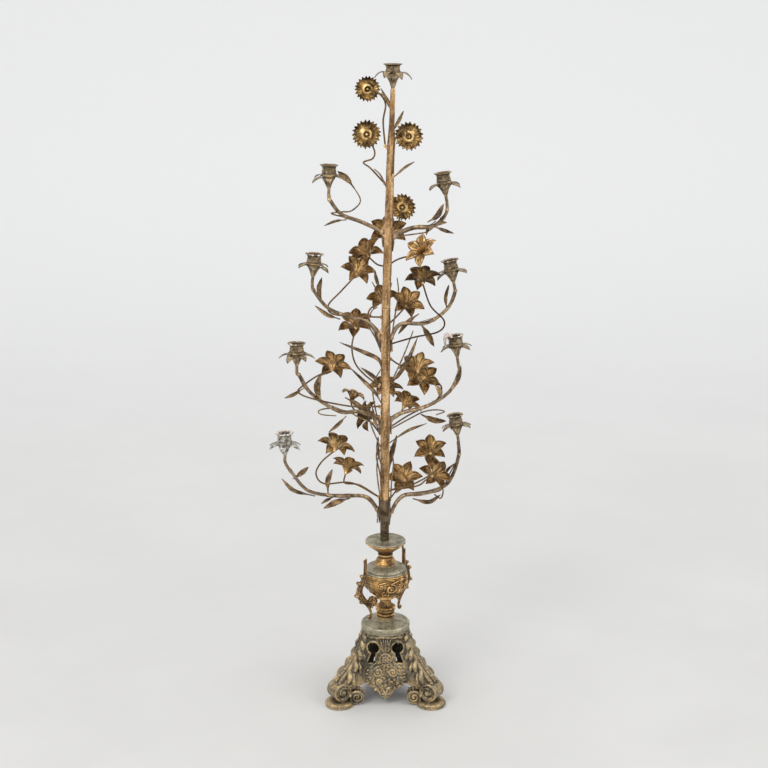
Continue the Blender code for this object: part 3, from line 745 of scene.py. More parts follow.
DAISY_SPRAYS = named_heads(DAISY_SPRAYS)
LILY_SPRAYS = named_heads(LILY_SPRAYS)
heads = sum(len(spray["heads"]) for spray in {**DAISY_SPRAYS, **LILY_SPRAYS}.values())
print(len(ARM_LIGHTS) + 1, "lights and", heads, "flowers")


# %% The stem's line
FERRULE_X = -1.5
TUBE_FOOT = 345.0
TUBE_JOINT = 720.0
TUBE_TOP = 1090.0
TUBE_LEAN_LOWER = 2.3
TUBE_LEAN_UPPER = 11.3

# The stem's radius up to each height, in steps, and above the last of them.
STEM_RADII = ((TUBE_FOOT, 8.0), (375, 10.3), (TUBE_JOINT, 8.0), (1000, 7.0))
STEM_TOP_RADIUS = 5.0
# Soldered parts keep a hair's breadth between them, as their CAD solids do.
GAP = 0.3
CALYX_HEIGHT = 24.0
NOZZLE_HEIGHT = 16.0


def stem_centre(height):
    if height < TUBE_JOINT:
        share = max(0.0, (height - TUBE_FOOT) / (TUBE_JOINT - TUBE_FOOT))
        return np.array([FERRULE_X + TUBE_LEAN_LOWER * share, 0, height])
    share = (height - TUBE_JOINT) / (TUBE_TOP - TUBE_JOINT)
    return np.array([FERRULE_X + TUBE_LEAN_LOWER + TUBE_LEAN_UPPER * share, 0, height])


def stem_radius(height):
    for top, radius in STEM_RADII:
        if height < top:
            return radius
    return STEM_TOP_RADIUS


def beside_stem(degrees, height, clearance):
    return stem_centre(height) + polar(stem_radius(height) + clearance, degrees)


print("stem runs from", TUBE_FOOT, "to", TUBE_TOP, "mm")

# %% [markdown]
# ## Two small Geometry Nodes trees
# Two things repeat all over the bouquet. A wire follows a route, and a flower is one petal
# repeated round a ring. Both could be loops in Python, but a node tree keeps its sizes as named
# inputs that a reader can change and look at in the node editor. Each tree ends in Realize
# Instances and Set Material, so that what comes out is a plain mesh.


# %% Tree helpers
def geometry_tree(name, inputs):
    tree = bpy.data.node_groups.new(name, "GeometryNodeTree")
    tree.interface.new_socket("Geometry", in_out="INPUT", socket_type="NodeSocketGeometry")
    for label, kind in inputs:
        tree.interface.new_socket(label, in_out="INPUT", socket_type=kind)
    tree.interface.new_socket("Geometry", in_out="OUTPUT", socket_type="NodeSocketGeometry")
    return tree, tree.nodes.new("NodeGroupInput").outputs, tree.nodes.new("NodeGroupOutput").inputs


def end_tree(tree, geometry, material, out):
    real = tree.nodes.new("GeometryNodeRealizeInstances")
    paint = tree.nodes.new("GeometryNodeSetMaterial")
    link(geometry, real.inputs[0])
    link(real.outputs[0], paint.inputs["Geometry"])
    link(material, paint.inputs["Material"])
    link(paint.outputs[0], out[0])


def run_tree(obj, tree, **values):
    """Runs a tree on an object with its named inputs set, and returns the plain result."""
    step = obj.modifiers.new(tree.name, "NODES")
    step.node_group = tree
    for item in tree.interface.items_tree:
        if item.in_out == "INPUT" and item.name in values:
            step[item.identifier] = values[item.name]
    return settled(obj)


# %% [markdown]
# The wire tree turns a chain of edges into a curve and sweeps a circle along it. The wire's
# radius comes from an attribute on each point, so a wire can taper towards its flower.


# %% A wire along a route
def wire_tree():
    tree, put, out = geometry_tree("wire_along_route", [("Sides", "NodeSocketInt"),
                                                       ("Material", "NodeSocketMaterial")])
    line = tree.nodes.new("GeometryNodeMeshToCurve")
    link(put["Geometry"], line.inputs["Mesh"])
    ring = tree.nodes.new("GeometryNodeCurvePrimitiveCircle")
    ring.inputs["Radius"].default_value = 1.0
    link(put["Sides"], ring.inputs["Resolution"])
    thick = tree.nodes.new("GeometryNodeInputNamedAttribute")
    thick.data_type = "FLOAT"
    thick.inputs["Name"].default_value = "thick"
    skin = tree.nodes.new("GeometryNodeCurveToMesh")
    skin.inputs["Fill Caps"].default_value = True
    link(line.outputs["Curve"], skin.inputs["Curve"])
    link(ring.outputs["Curve"], skin.inputs["Profile Curve"])
    link(thick.outputs["Attribute"], skin.inputs["Scale"])
    end_tree(tree, skin.outputs["Mesh"], put["Material"], out)
    return tree


WIRE_TREE = wire_tree()
print("wire tree has", len(WIRE_TREE.nodes), "nodes")


def wires(routes, finish, sides=10, step=3.0):
    """Drawn wires along several routes; each is (points, radii) in mm from the rod's line."""
    points, thick, edges = [], [], []
    for route, radii in routes:
        rough = np.asarray(route, float)
        length = np.linalg.norm(np.diff(rough, axis=0), axis=1).sum()
        count = max(6, int(length / step))
        path = smooth_line(rough, count)
        first = len(thick)
        edges += [(first + i, first + i + 1) for i in range(count - 1)]
        points += path.tolist()
        thick += np.interp(np.linspace(0, 1, count), np.linspace(0, 1, len(radii)), radii).tolist()
    mesh = bpy.data.meshes.new("wire_route")
    mesh.from_pydata((np.array(points) * MM).tolist(), edges, [])
    store(mesh, "thick", np.array(thick, np.float32) * MM)
    return shape_of(run_tree(put_in_scene("wire_route", mesh), WIRE_TREE, Sides=sides, Material=finish))


def stained(shape, amount):
    """The same shape with its whole surface marked as dark as a cut edge, times amount."""
    points, faces = shape
    return np.column_stack([points[:, :3], np.full(len(points), amount)]), faces


# %% [markdown]
# The ring tree sets copies of one part round the Z axis. A seeded random turn of each copy keeps
# petals and beads from looking machine made.


# %% A ring of equal parts
def ring_tree():
    tree, put, out = geometry_tree("ring_of_parts", [
        ("Count", "NodeSocketInt"), ("Radius", "NodeSocketFloat"), ("Unevenness", "NodeSocketFloat"),
        ("Seed", "NodeSocketInt"), ("Material", "NodeSocketMaterial")])
    spots = tree.nodes.new("GeometryNodePoints")
    link(put["Count"], spots.inputs["Count"])
    index = tree.nodes.new("GeometryNodeInputIndex")
    share = add_math(tree, "DIVIDE", index.outputs[0], put["Count"])
    turn = add_math(tree, "MULTIPLY", share, 2 * pi)
    jitter = []
    for offset in range(2):
        random_value = tree.nodes.new("FunctionNodeRandomValue")
        low = add_math(tree, "MULTIPLY", put["Unevenness"], -1.0)
        link(low, random_value.inputs[2])
        link(put["Unevenness"], random_value.inputs[3])
        link(add_math(tree, "ADD", put["Seed"], 100.0 * offset), random_value.inputs["Seed"])
        jitter.append(random_value.outputs[1])
    euler = tree.nodes.new("ShaderNodeCombineXYZ")
    link(jitter[0], euler.inputs["Y"])
    link(add_math(tree, "ADD", turn, add_math(tree, "MULTIPLY", jitter[1], 0.6)), euler.inputs["Z"])
    rotation = tree.nodes.new("FunctionNodeEulerToRotation")
    link(euler.outputs[0], rotation.inputs[0])
    reach = tree.nodes.new("ShaderNodeCombineXYZ")
    link(put["Radius"], reach.inputs["X"])
    push = tree.nodes.new("GeometryNodeTransform")
    link(put["Geometry"], push.inputs["Geometry"])
    link(reach.outputs[0], push.inputs["Translation"])
    copies = tree.nodes.new("GeometryNodeInstanceOnPoints")
    link(spots.outputs[0], copies.inputs["Points"])
    link(push.outputs[0], copies.inputs["Instance"])
    link(rotation.outputs[0], copies.inputs["Rotation"])
    end_tree(tree, copies.outputs[0], put["Material"], out)
    return tree


RING_TREE = ring_tree()


def ring_of(part, count, radius=0.0, unevenness=0.0, seed=1, finish=None):
    """Copies of a part, such as a petal or a bead, spaced round the Z axis."""
    made = raw_object("ring_part", part, centre=False)
    values = {"Count": count, "Radius": radius * MM, "Unevenness": unevenness, "Seed": seed,
              "Material": finish or GILT}
    return shape_of(run_tree(made, RING_TREE, **values))


bead = blob((0, 0, 0), (0.9, 0.9, 0.9), sides=7)
print("one bead has", len(bead[1]), "faces")

# %% [markdown]
# ## The stem
# The stem is sheet brass rolled into a tube, with the seam dressed flat and the surface left
# uneven by the file. A perfect cylinder would look like plastic pipe, so the turned wall gets a
# slow random swell of a few tenths of a millimetre, and drops of solder where wires leave it.
# The upper tube plugs into the lower one and narrows to carry the top light.


# %% Filed walls and drops of solder
random.seed(7)


def hand_filed(strength, phase):
    """A wall that swells and dips a little, as a filed tube does."""
    def wave(turns, height):
        swell = [noise.noise(Vector((cos(a) * 1.3, sin(a) * 1.3, height * 0.035 + phase))) for a in turns]
        dents = [noise.noise(Vector((cos(a) * 2.6, sin(a) * 2.6, height * 0.16 + phase))) for a in turns]
        return 1 + strength * (np.array(swell) + 0.7 * np.array(dents)) + 0.012 * np.cos(8 * turns)
    return wave


def leaning(shape, low, high):
    """Tilts a shape that was made along Z so that it runs from low to high."""
    return moved(shape, stood(low, high - low))


def tube_wall(outer, inner, rows):
    """A closed tube wall: outer (height, radius) points up, then inner ones down."""
    out_line = [(np.interp(h, *zip(*outer)), h) for h in np.linspace(outer[0][0], outer[-1][0], rows)]
    in_line = [(np.interp(h, *zip(*inner)), h) for h in (inner[-1][0], inner[0][0])]
    return out_line + in_line + out_line[:1]


def root_drops(radii=(4.6, 3.4)):
    """Drops of solder on the tubes where the arms leave, as (height, shape)."""
    drops = []
    for light in ARM_LIGHTS.values():
        for lift, reach in ((2, 0.6), (9, 0.2), (-5, 0.1)):
            size = radii[0] * random.uniform(0.35, 0.6)
            height = light["height"] + lift + random.uniform(-2, 2)
            spot = beside_stem(light["angle"] + random.uniform(-12, 12), height, reach - 0.6)
            drops.append((height, blob(spot, (size, size, size * 1.7), sides=12)))
    for spray in {**DAISY_SPRAYS, **LILY_SPRAYS}.values():
        degrees, height = spray["root"]
        spot = beside_stem(degrees + random.uniform(-9, 9), height - 3, -0.2)
        drops.append((height, blob(spot, (1.7, 1.7, 3.4), sides=12)))
    return drops


drops = root_drops()
print(len(drops), "drops of solder on the stem")


# %% The tubes and the ferrule
length = TUBE_JOINT - TUBE_FOOT
wall = tube_wall([(0, 8.0), (length, 7.6)], [(0, 6.5), (length, 6.5)], 190)
lower = leaning(turned(wall, 48, hand_filed(0.075, 0)), stem_centre(TUBE_FOOT), stem_centre(TUBE_JOINT))
low_drops = [drop for height, drop in drops if 380 < height < TUBE_JOINT - 4]
finished("stem_lower", [lower] + low_drops, STEM_GILT, "bouquet", "gilt", "stem_tube_lower",
         rounds=12, crisp=60)

length = TUBE_TOP - TUBE_JOINT
outer = [(-18, 5.7), (0.2, 5.7), (0.3, 7.5), (60, 7.2), (280, 6.6), (310, 4.7), (length, 3.9)]
wall = tube_wall(outer, [(-18, 4.7), (280, 4.7), (310, 3.2), (length, 2.6)], 200)
upper = leaning(turned(wall, 48, hand_filed(0.085, 40)), stem_centre(TUBE_JOINT), stem_centre(TUBE_TOP))
high_drops = [drop for height, drop in drops if height > TUBE_JOINT]
finished("stem_upper", [upper] + high_drops, STEM_GILT, "bouquet", "gilt", "stem_tube_upper",
         rounds=12, crisp=60)

ferrule_line = [(6.2, 297.3), (7.9, 297.3), (8.1, 299), (7.75, 301), (7.75, 328), (8.6, 339),
                (9.7, 346.5), (10.3, 352), (10.3, 371), (10.6, 372.4), (10.3, 374), (8.6, 374),
                (8.6, 342), (6.2, 342), (6.2, 297.3)]
points, faces = turned(ferrule_line, 64, hand_filed(0.015, 80))
points[:, 0] += FERRULE_X
solder = [blob(beside_stem(angle, 371 + lift, -2.4), (3.2, 3.2, 5), sides=12)
          for angle, lift in ((165, 0), (30, 2), (250, -2), (100, 1))]
obj = finished("stem_socket", [(points, faces)] + solder, FERRULE, "bouquet", "bronze", "stem_ferrule",
               rounds=6, crisp=40)
print("ferrule has", len(obj.data.polygons), "faces")

# %% [markdown]
# ## The nine lights
# A light is three pieces. The arm is a tapered brass rod with a thinner wire soldered along it.
# The calyx is a pressed lily turned outwards: a ribbed funnel with six petals that curl down.
# The nozzle is a turned cup with a flared rim for the candle. The petals come from the ring
# tree, with a small random lift and twist so that no cup is perfectly regular.


# %% Petals for the calyx
def petal_sheet(spine, halves, rows, cols, thickness, ribs=0.3, curl=0.6, ripple=0.0, vein=0.5):
    """A petal along a spine of (radius, height) with half widths; it wraps round the Z axis."""
    line = smooth_line([(r, z, h) for (r, z), h in zip(spine, halves)], rows)
    across = np.linspace(-1, 1, cols)[None, :]
    radius, height, half = (line[:, n][:, None] for n in range(3))
    angle = across * half / np.maximum(radius, 0.5)
    share = np.linspace(0, 1, rows)[:, None]
    body = np.sin(np.pi * np.clip(share * 1.05, 0, 1)) ** 0.5
    lift = ribs * np.cos(across * 3.5 * pi) * body
    lift = lift - vein * np.exp(-(across / 0.13) ** 2) * body
    lift = lift - curl * np.abs(across) ** 2.5 * share
    lift = lift + ripple * np.sin(share * 11) * across ** 2 * np.sign(across)
    x = radius * np.cos(angle)
    y = radius * np.sin(angle)
    return sheet(np.stack([x, y, height + lift], -1), thickness)


# Six petals share a funnel, so each spans thirty degrees to either side and overlaps the next.
OVERLAP = 1.14
THIRTY = radians(30) * OVERLAP
CALYX_SPINE = [(3.6, 3), (5.6, 9), (8.8, 16), (12.6, 20.4), (17, 21.8), (22.5, 20.8), (27, 18.0), (30, 14.6)]
CALYX_HALVES = [3.6 * THIRTY, 5.6 * THIRTY, 8.8 * THIRTY, 7.0, 7.2, 6.6, 3.8, 0.2]
calyx_petal = petal_sheet(CALYX_SPINE, CALYX_HALVES, 22, 13, 0.7, ribs=0.25, curl=1.0, ripple=0.3)
print("calyx petal", len(calyx_petal[1]), "faces")


def calyx_shape(seed, spread, tall=1.0):
    """A closed ribbed funnel with its ring of petals, standing on its foot; tall stretches it."""
    def ribbed(turns, height):
        return 1 + 0.035 * np.cos(12 * turns) * min(1, height / 8)
    funnel_line = [(0, 0), (3.1, 0.2), (3.4, 2), (3.3, 3.6), (4.2, 6), (6.2, 11), (8.8, 16), (11.2, 19.8),
                   (11.8, 21.6), (11.4, CALYX_HEIGHT), (0, CALYX_HEIGHT)]
    petals = ring_of(calyx_petal, 6, unevenness=spread, seed=seed)
    inner = ring_of(calyx_petal, 6, unevenness=spread, seed=seed + 50)
    inner = (inner[0] * np.array([0.62, 0.62, 0.42, 1]) + np.array([0, 0, 12.6, 0]), inner[1])
    inner = moved(inner, Matrix.Rotation(radians(30), 4, "Z"))
    flower = joined([petals, inner])
    flower = (flower[0] * np.array([1, 1, tall, 1]), flower[1])
    return joined([turned(funnel_line, 48, ribbed), flower])


# %% [markdown]
# The nozzle is spun on a lathe, so it is one profile turned round an axis. The third number of a
# profile point darkens it: the inside is black with smoke and painted shade, and the grooves and the
# underside of the flared rim carry painted shadow.


# %% The nozzle with its beads
NOZZLE_FLOOR = 1.6
# The third number darkens a point: smoke and painted shade inside, painted shadow in the grooves and under
# the flared rim.
NOZZLE_LINE = [(0, 0, 0), (12.6, 0, 0), (13.2, 0.4, 0.6), (13.0, 1.0, 0.6), (12.0, 1.6, 1), (11.9, 2.2, 0.3),
               (12.3, 3.0, 0), (12.4, 3.6, 0), (11.9, 4.3, 0.5), (11.6, 5.2, 0), (11.4, 7.4, 0)]
# The rim's heights count down from the top of the nozzle.
RIM_LINE = [(11.5, 5.4, 0), (11.9, 4.0, 0.4), (12.4, 2.8, 1), (13.8, 1.7, 1), (15.2, 1.2, 0.8),
            (15.6, 0.6, 0.5), (15.2, 0, 0.2), (13.4, 0.3, 0.3), (11.6, 1.2, 0.6), (11.0, 2.2, 1)]


def nozzle_shape(height, seed):
    """A turned candle socket with a flared rim, a beaded belt and a slightly bent lip."""
    line = NOZZLE_LINE + [(radius, height - drop, smoke_and_shade) for radius, drop, smoke_and_shade in RIM_LINE]
    line += [(11.0, NOZZLE_FLOOR, 1), (0, NOZZLE_FLOOR, 1)]

    def bent(turns, level):
        share = max(0.0, (level - height + 5) / 5)
        return 1 + 0.022 * share * np.sin(2 * turns + seed) + 0.012 * share * np.sin(5 * turns + 2 * seed)
    beads = ring_of((bead[0] * 0.75, bead[1]), 40, radius=11.8)
    beads = moved(beads, Matrix.Translation((0, 0, 5.8)))
    return joined([turned(line, 64, bent), beads])


print("nozzle profile has", len(NOZZLE_LINE) + len(RIM_LINE) + 2, "points")

# %% [markdown]
# An arm runs from the stem through its route to the foot of its cup. Its heel is bent down
# against the stem and soldered there. Two thinner wires wind along it, and three knots of solder
# hold them, as on the real arms.


# %% The arms
ARM_STEPS = 40
ARM_RADII = (0.6, 2.6, 3.6, 3.4, 3.1, 2.9, 2.7, 2.6)


def side_wire(route, angle, reach, share=(0.0, 1.0)):
    """A thin companion wire that lies along part of a route, turning slowly round it."""
    path = smooth_line(route, ARM_STEPS)
    first, last = (int(end * (ARM_STEPS - 1)) for end in share)
    turns = np.linspace(angle, angle + 200, ARM_STEPS)
    ways = np.gradient(path, axis=0)
    spots = []
    for spot, way, degrees in list(zip(path, ways, turns))[first:last + 1:3]:
        flat = np.cross(way, [0, 1, 0.2])
        flat /= np.linalg.norm(flat) + 1e-9
        other = np.cross(way / np.linalg.norm(way), flat)
        a = radians(degrees)
        spots.append(spot + reach * (cos(a) * flat + sin(a) * other))
    return spots


for number, (label, light) in enumerate(ARM_LIGHTS.items()):
    axis = Vector(light["lean"]).normalized()
    foot = Vector(light["rim"]) - axis * (CALYX_HEIGHT + GAP + NOZZLE_HEIGHT)
    root = beside_stem(light["angle"], light["height"], GAP + 3.8)
    route = [root] + [np.array(spot, float) for spot in light["route"]]
    route += [np.array(foot - axis * 14), np.array(foot - axis * GAP)]
    heel = [beside_stem(light["angle"], light["height"] - drop, 2.2) for drop in (26, 12)]
    route = heel + route
    along = wires([(route, ARM_RADII)], BRONZE, sides=20, step=2.5)
    thin = wires([(side_wire(route, 40 * number, 3.6, (0.02, 0.55)), (1.1, 1.0, 0.7)),
                  (side_wire(route, 150 + 40 * number, 3.3, (0.3, 0.9)), (0.9, 0.8, 0.5))], BRONZE, sides=8)
    path = smooth_line(route, ARM_STEPS)
    knots = [blob(path[place], (3.7, 3.7, 3.9), sides=14) for place in (9, 21, 30)]
    solder = blob(root, (4.4, 4.4, 6.0), sides=14)
    finished(f"light_arm_{label}", [along, thin, solder] + knots, BRONZE, "bouquet", "bronze",
             f"arm_{label}", rounds=5)
print(len(ARM_LIGHTS), "arms")


# %% Calyxes and nozzles in place
NOZZLE_FINISH = {"left_1": WAXED_CUP}
PETAL_UNEVENNESS = 0.09
TALL_PETALS = {"top": 1.3}
rims = {label: (light["rim"], light["lean"]) for label, light in ARM_LIGHTS.items()}
rims["top"] = (stem_centre(TUBE_TOP) + np.array([0, 0, 40.6]), (0, 0, 1))
for number, (label, (rim, lean)) in enumerate(rims.items()):
    axis = Vector(lean).normalized()
    foot = Vector(rim) - axis * (CALYX_HEIGHT + GAP + NOZZLE_HEIGHT)
    finish = NOZZLE_FINISH.get(label, CUP)
    calyx = calyx_shape(number + 3, PETAL_UNEVENNESS, TALL_PETALS.get(label, 1.0))
    finished(f"lily_cup_{label}", [moved(calyx, stood(foot, axis))], finish, "bouquet", "bronze",
             f"calyx_{label}", rounds=5)
    seat = foot + axis * (CALYX_HEIGHT + GAP)
    nozzle = moved(nozzle_shape(NOZZLE_HEIGHT, number), stood(seat, axis))
    finished(f"candle_socket_{label}", [nozzle], finish, "bouquet", "bronze", f"nozzle_{label}", crisp=40)
print(len(rims), "cups with their sockets")

# %% [markdown]
# ## Lilies and daisies
# The flowers are stamped from thin brass sheet and bent by hand. A lily is a funnel of six
# pointed petals, each with a groove down the middle and ribs beside it. A daisy is a shallow dish
# cut into some twenty teeth, with a ring and a boss pressed into its middle. Both reuse the
# petal sheet and the ring tree, so a few sizes give twenty-four different flowers.


# %% A lily
TURN_OVER = 12
PLAIN_SIZE = 29
LILY_SPINE = [(1.9, -1), (3.6, 4), (6.2, 9), (9.6, 13.6), (13.8, 17.2), (18.4, 19.2), (23.4, 19.2),
              (28, 17.0), (31, 14.2)]
LILY_HALVES = [1.9 * THIRTY, 3.6 * THIRTY, 6.2 * THIRTY, 9.6 * THIRTY, 8.8, 9.8, 7.2, 3.2, 0.1]


def lily_shape(size, seed):
    """One lily along +Z, from its wire at the back to the tips of its six petals."""
    rng = random.Random(seed)
    flare = rng.uniform(-0.09, 0.05)
    small = size / PLAIN_SIZE
    spine = [(r * small, z + (r - TURN_OVER) * flare * (r > TURN_OVER)) for r, z in LILY_SPINE]
    halves = [half * small for half in LILY_HALVES]
    curl = rng.uniform(0.6, 1.8)
    petal = petal_sheet(spine, halves, 20, 15, 0.6, ribs=0.75, curl=curl, ripple=0.7, vein=1.3)
    petals = ring_of(petal, 6, unevenness=0.10, seed=seed)
    cup_line = [(0, -3.2), (1.7, -3), (2.3, -1.2), (2.5, 1.2), (2.2, 2.4), (0, 2.6)]
    return joined([petals, turned(cup_line, 20)])


print("a lily petal's spine has", len(LILY_SPINE), "spots")


# %% A daisy
DAISY_SIZE = 23
# The third number of each dish point is painted shade round the pressed ring and the boss.
DAISY_DISH = [
    (0, -1.8, 0), (1.6, -1.4, 0), (2.5, 0.4, 0.2), (3.2, 2.6, 0.8), (4.2, 3.0, 0.5), (5.2, 1.4, 0.1),
    (6.8, 0.4, 0), (8.4, 1.0, 0), (10.4, 2.8, 0), (12.2, 4.4, 0.2), (13.4, 5.4, 1), (14.6, 6.4, 0.4),
    (15.0, 7.4, 0), (13.6, 8.2, 0), (12.0, 7.6, 0.8), (10.4, 6.4, 1), (8.8, 5.4, 0.3), (7.0, 5.0, 0),
    (5.4, 5.6, 0.2), (4.2, 6.8, 0.9), (3.0, 7.2, 0.2), (1.6, 8.4, 0), (0, 8.6, 0)]


def daisy_shape(size, seed):
    """One daisy along +Z: two rings of teeth, a pressed dish, a ring and a boss."""
    rng = random.Random(seed)
    teeth = rng.choice((19, 20, 21))
    half = pi / teeth
    layers = []
    for turn, reach, drop in ((0, 1.0, 0.0), (math.degrees(half), 0.88, -0.9)):
        outer = size * reach
        spine = [(3.0, 4.4 + drop), (outer * 0.45, 5.4 + drop), (outer * 0.68, 6.4 + drop),
                 (outer * 0.84, 6.2 + drop), (outer * 0.96, 5.0 + drop), (outer * 1.08, 3.4 + drop)]
        halves = [3.0 * half, outer * 0.45 * half, outer * 0.68 * half, outer * 0.84 * half * 0.92,
                  outer * 0.95 * half * 0.6, 0.1]
        tooth = petal_sheet(spine, halves, 14, 7, 0.5, ribs=0.0, curl=0.5, vein=-0.5)
        ring = ring_of(tooth, teeth, unevenness=0.05, seed=seed)
        layers.append(moved(ring, Matrix.Rotation(radians(turn), 4, "Z")))

    def creased(turns, height):
        return 1 + 0.03 * np.cos(teeth * turns) * (3 < height < 7)
    points, faces = turned(DAISY_DISH, 80, creased)
    wider = size / DAISY_SIZE
    return joined(layers + [(points * np.array([wider, wider, 1, 1]), faces)])


print("a daisy's dish has", len(DAISY_DISH), "points")


# %% Sprays in place
# These flowers take the darker copy of the gilding: painted shade.
SHADED_FLOWERS = {"lily_upper_right", "lilies_centre_left"}
DAISY_DEPTH = 4
LILY_DEPTH = 12
LILY_GROWTH = 1.06


def spray_piece(name, spray, flower, depth, finish, seed, grow=1.0):
    """A drop of solder beside the stem, and one wire with its flower for each head."""
    root = np.array(beside_stem(*spray["root"], GAP + 2.6))
    shapes = [blob(root, (2.5, 2.5, 3.4), sides=12)]
    for index, head in enumerate(spray["heads"]):
        front = facing(*head["face"])
        back = Vector(head["at"]) - front * depth
        route = [np.array(spot, float) for spot in head["route"]] + [np.array(back - front * 1.0)]
        start = root + (route[0] - root) / np.linalg.norm(route[0] - root) * 0.8
        wire = wires([([start] + route, (1.5, 1.45, 1.4))], finish, sides=10, step=2.2)
        shapes.append(stained(wire, 1.0))
        turn = Matrix.Rotation(radians(37 * (seed + index)), 4, "Z")
        shape = moved(flower(head["size"] * grow, seed + 13 * index), turn)
        shapes.append(moved(shape, stood(back, front)))
    return finished(f"{name}_spray", shapes, finish, "bouquet", "gilt", name, crisp=55)


for number, (name, spray) in enumerate(DAISY_SPRAYS.items()):
    spray_piece(name, spray, daisy_shape, DAISY_DEPTH, DAISY_GILT, 5 + number)
for number, (name, spray) in enumerate(LILY_SPRAYS.items()):
    finish = SHADED_GILT if name in SHADED_FLOWERS else GILT
    piece = spray_piece(name, spray, lily_shape, LILY_DEPTH, finish, 30 + number, LILY_GROWTH)
print("last spray has", len(piece.data.polygons), "faces")

# %% [markdown]
# ## Leaves and loose wires
# Some thirty lance-shaped leaves are soldered to the arms and the stem on short stalks. Each is a
# strip of brass sheet folded along its middle. A leaf is drawn as three or four spots in
# millimetres, from its stalk to its tip, and its half width. Its face is turned by a small random
# angle so that the leaves catch the light differently.


# %% Routes of the leaves
LEAVES = {
    "left_1": [
        (4.6, [(-159, -30, 423), (-146, -31, 433), (-134, -32, 444)]),
        (3.6, [(-126, -26, 389), (-160, -30, 400), (-181, -34, 423)]),
        (4.8, [(-101, -18, 393), (-101, -19, 415), (-93, -20, 436)]),
        (5.4, [(-64, -14, 380), (-87, -18, 374), (-109, -22, 364)]),
        (2.8, [(-91, -18, 384), (-102, -22, 380), (-113, -26, 374)])],
    "right_1": [
        (4.6, [(52, 66, 351), (78, 71, 344), (101, 76, 356)]),
        (2.6, [(111, 94, 370), (112, 99, 392), (128, 100, 409)])],
    "left_2": [
        (6.0, [(-111, -22, 559), (-118, -24, 584), (-111, -26, 610)]),
        (3.2, [(-142, -24, 583), (-157, -28, 574), (-174, -32, 568)]),
        (3.2, [(-70, -14, 529), (-81, -17, 518), (-99, -20, 503)]),
        (5.0, [(-68, -6, 561), (-48, -1, 546), (-24, 4, 519)])],
    "right_2": [
        (5.6, [(65, 52, 514), (85, 49, 506), (108, 46, 504)]),
        (4.6, [(87, 58, 569), (96, 55, 558), (97, 52, 545)]),
        (2.6, [(117, 74, 551), (131, 77, 573), (135, 80, 598)])],
    "left_3": [
        (4.2, [(-109, -14, 735), (-113, -15, 756), (-108, -16, 776)]),
        (3.6, [(-80, -10, 703), (-99, -15, 711), (-120, -20, 728)])],
    "right_3": [
        (4.0, [(107, 48, 709), (104, 47, 729), (110, 46, 751)]),
        (4.2, [(56, 36, 700), (39, 30, 688), (22, 24, 668)]),
        (5.4, [(62, 42, 682), (75, 42, 662), (85, 40, 642)])],
    "left_4": [
        (5.0, [(-54, -12, 929), (-65, -14, 944), (-80, -16, 956)]),
        (2.4, [(-68, -8, 873), (-85, -11, 871), (-103, -14, 864)])],
    "right_4": [
        (5.5, [(74, 32, 864), (90, 29, 875), (99, 26, 895)]),
        (3.2, [(84, 32, 855), (101, 30, 849), (117, 28, 844)]),
        (2.6, [(88, 34, 856), (97, 35, 861), (105, 36, 862)]),
        (2.6, [(84, 34, 863), (73, 31, 853), (70, 28, 841)])],
    "stem_low": [
        (2.6, [(8, 12, 475), (39, 19, 494), (73, 26, 506)]),
        (5.4, [(6, 7, 425), (10, 7, 456), (20, 8, 490)]),
        (3.0, [(-12, -6, 502), (-19, -8, 523), (-23, -10, 547)]),
        (3.4, [(-9, 6, 440), (-14, 9, 462), (-13, 12, 486)])],
    "stem_middle": [
        (4.0, [(-6, 0, 608), (-12, -3, 629), (-38, -5, 643), (-79, -8, 661)]),
        (3.6, [(-6, 0, 548), (-19, -4, 572), (-36, -8, 591), (-61, -12, 617)]),
        (3.6, [(-8, 2, 573), (-19, 4, 595), (-43, 6, 613)]),
        (4.0, [(8, 8, 588), (21, 10, 596), (40, 13, 626), (56, 16, 665)])],
    "stem_top": [
        (3.4, [(10, 6, 1052), (5, 3, 1067), (-8, 0, 1091)]),
        (3.2, [(12, 2, 1020), (21, 1, 1036), (30, 0, 1054)]),
        (2.2, [(10, 4, 940), (31, 6, 958), (49, 8, 969)]),
        (3.6, [(-8, 4, 745), (-15, 3, 770), (-18, 2, 785)])],
}
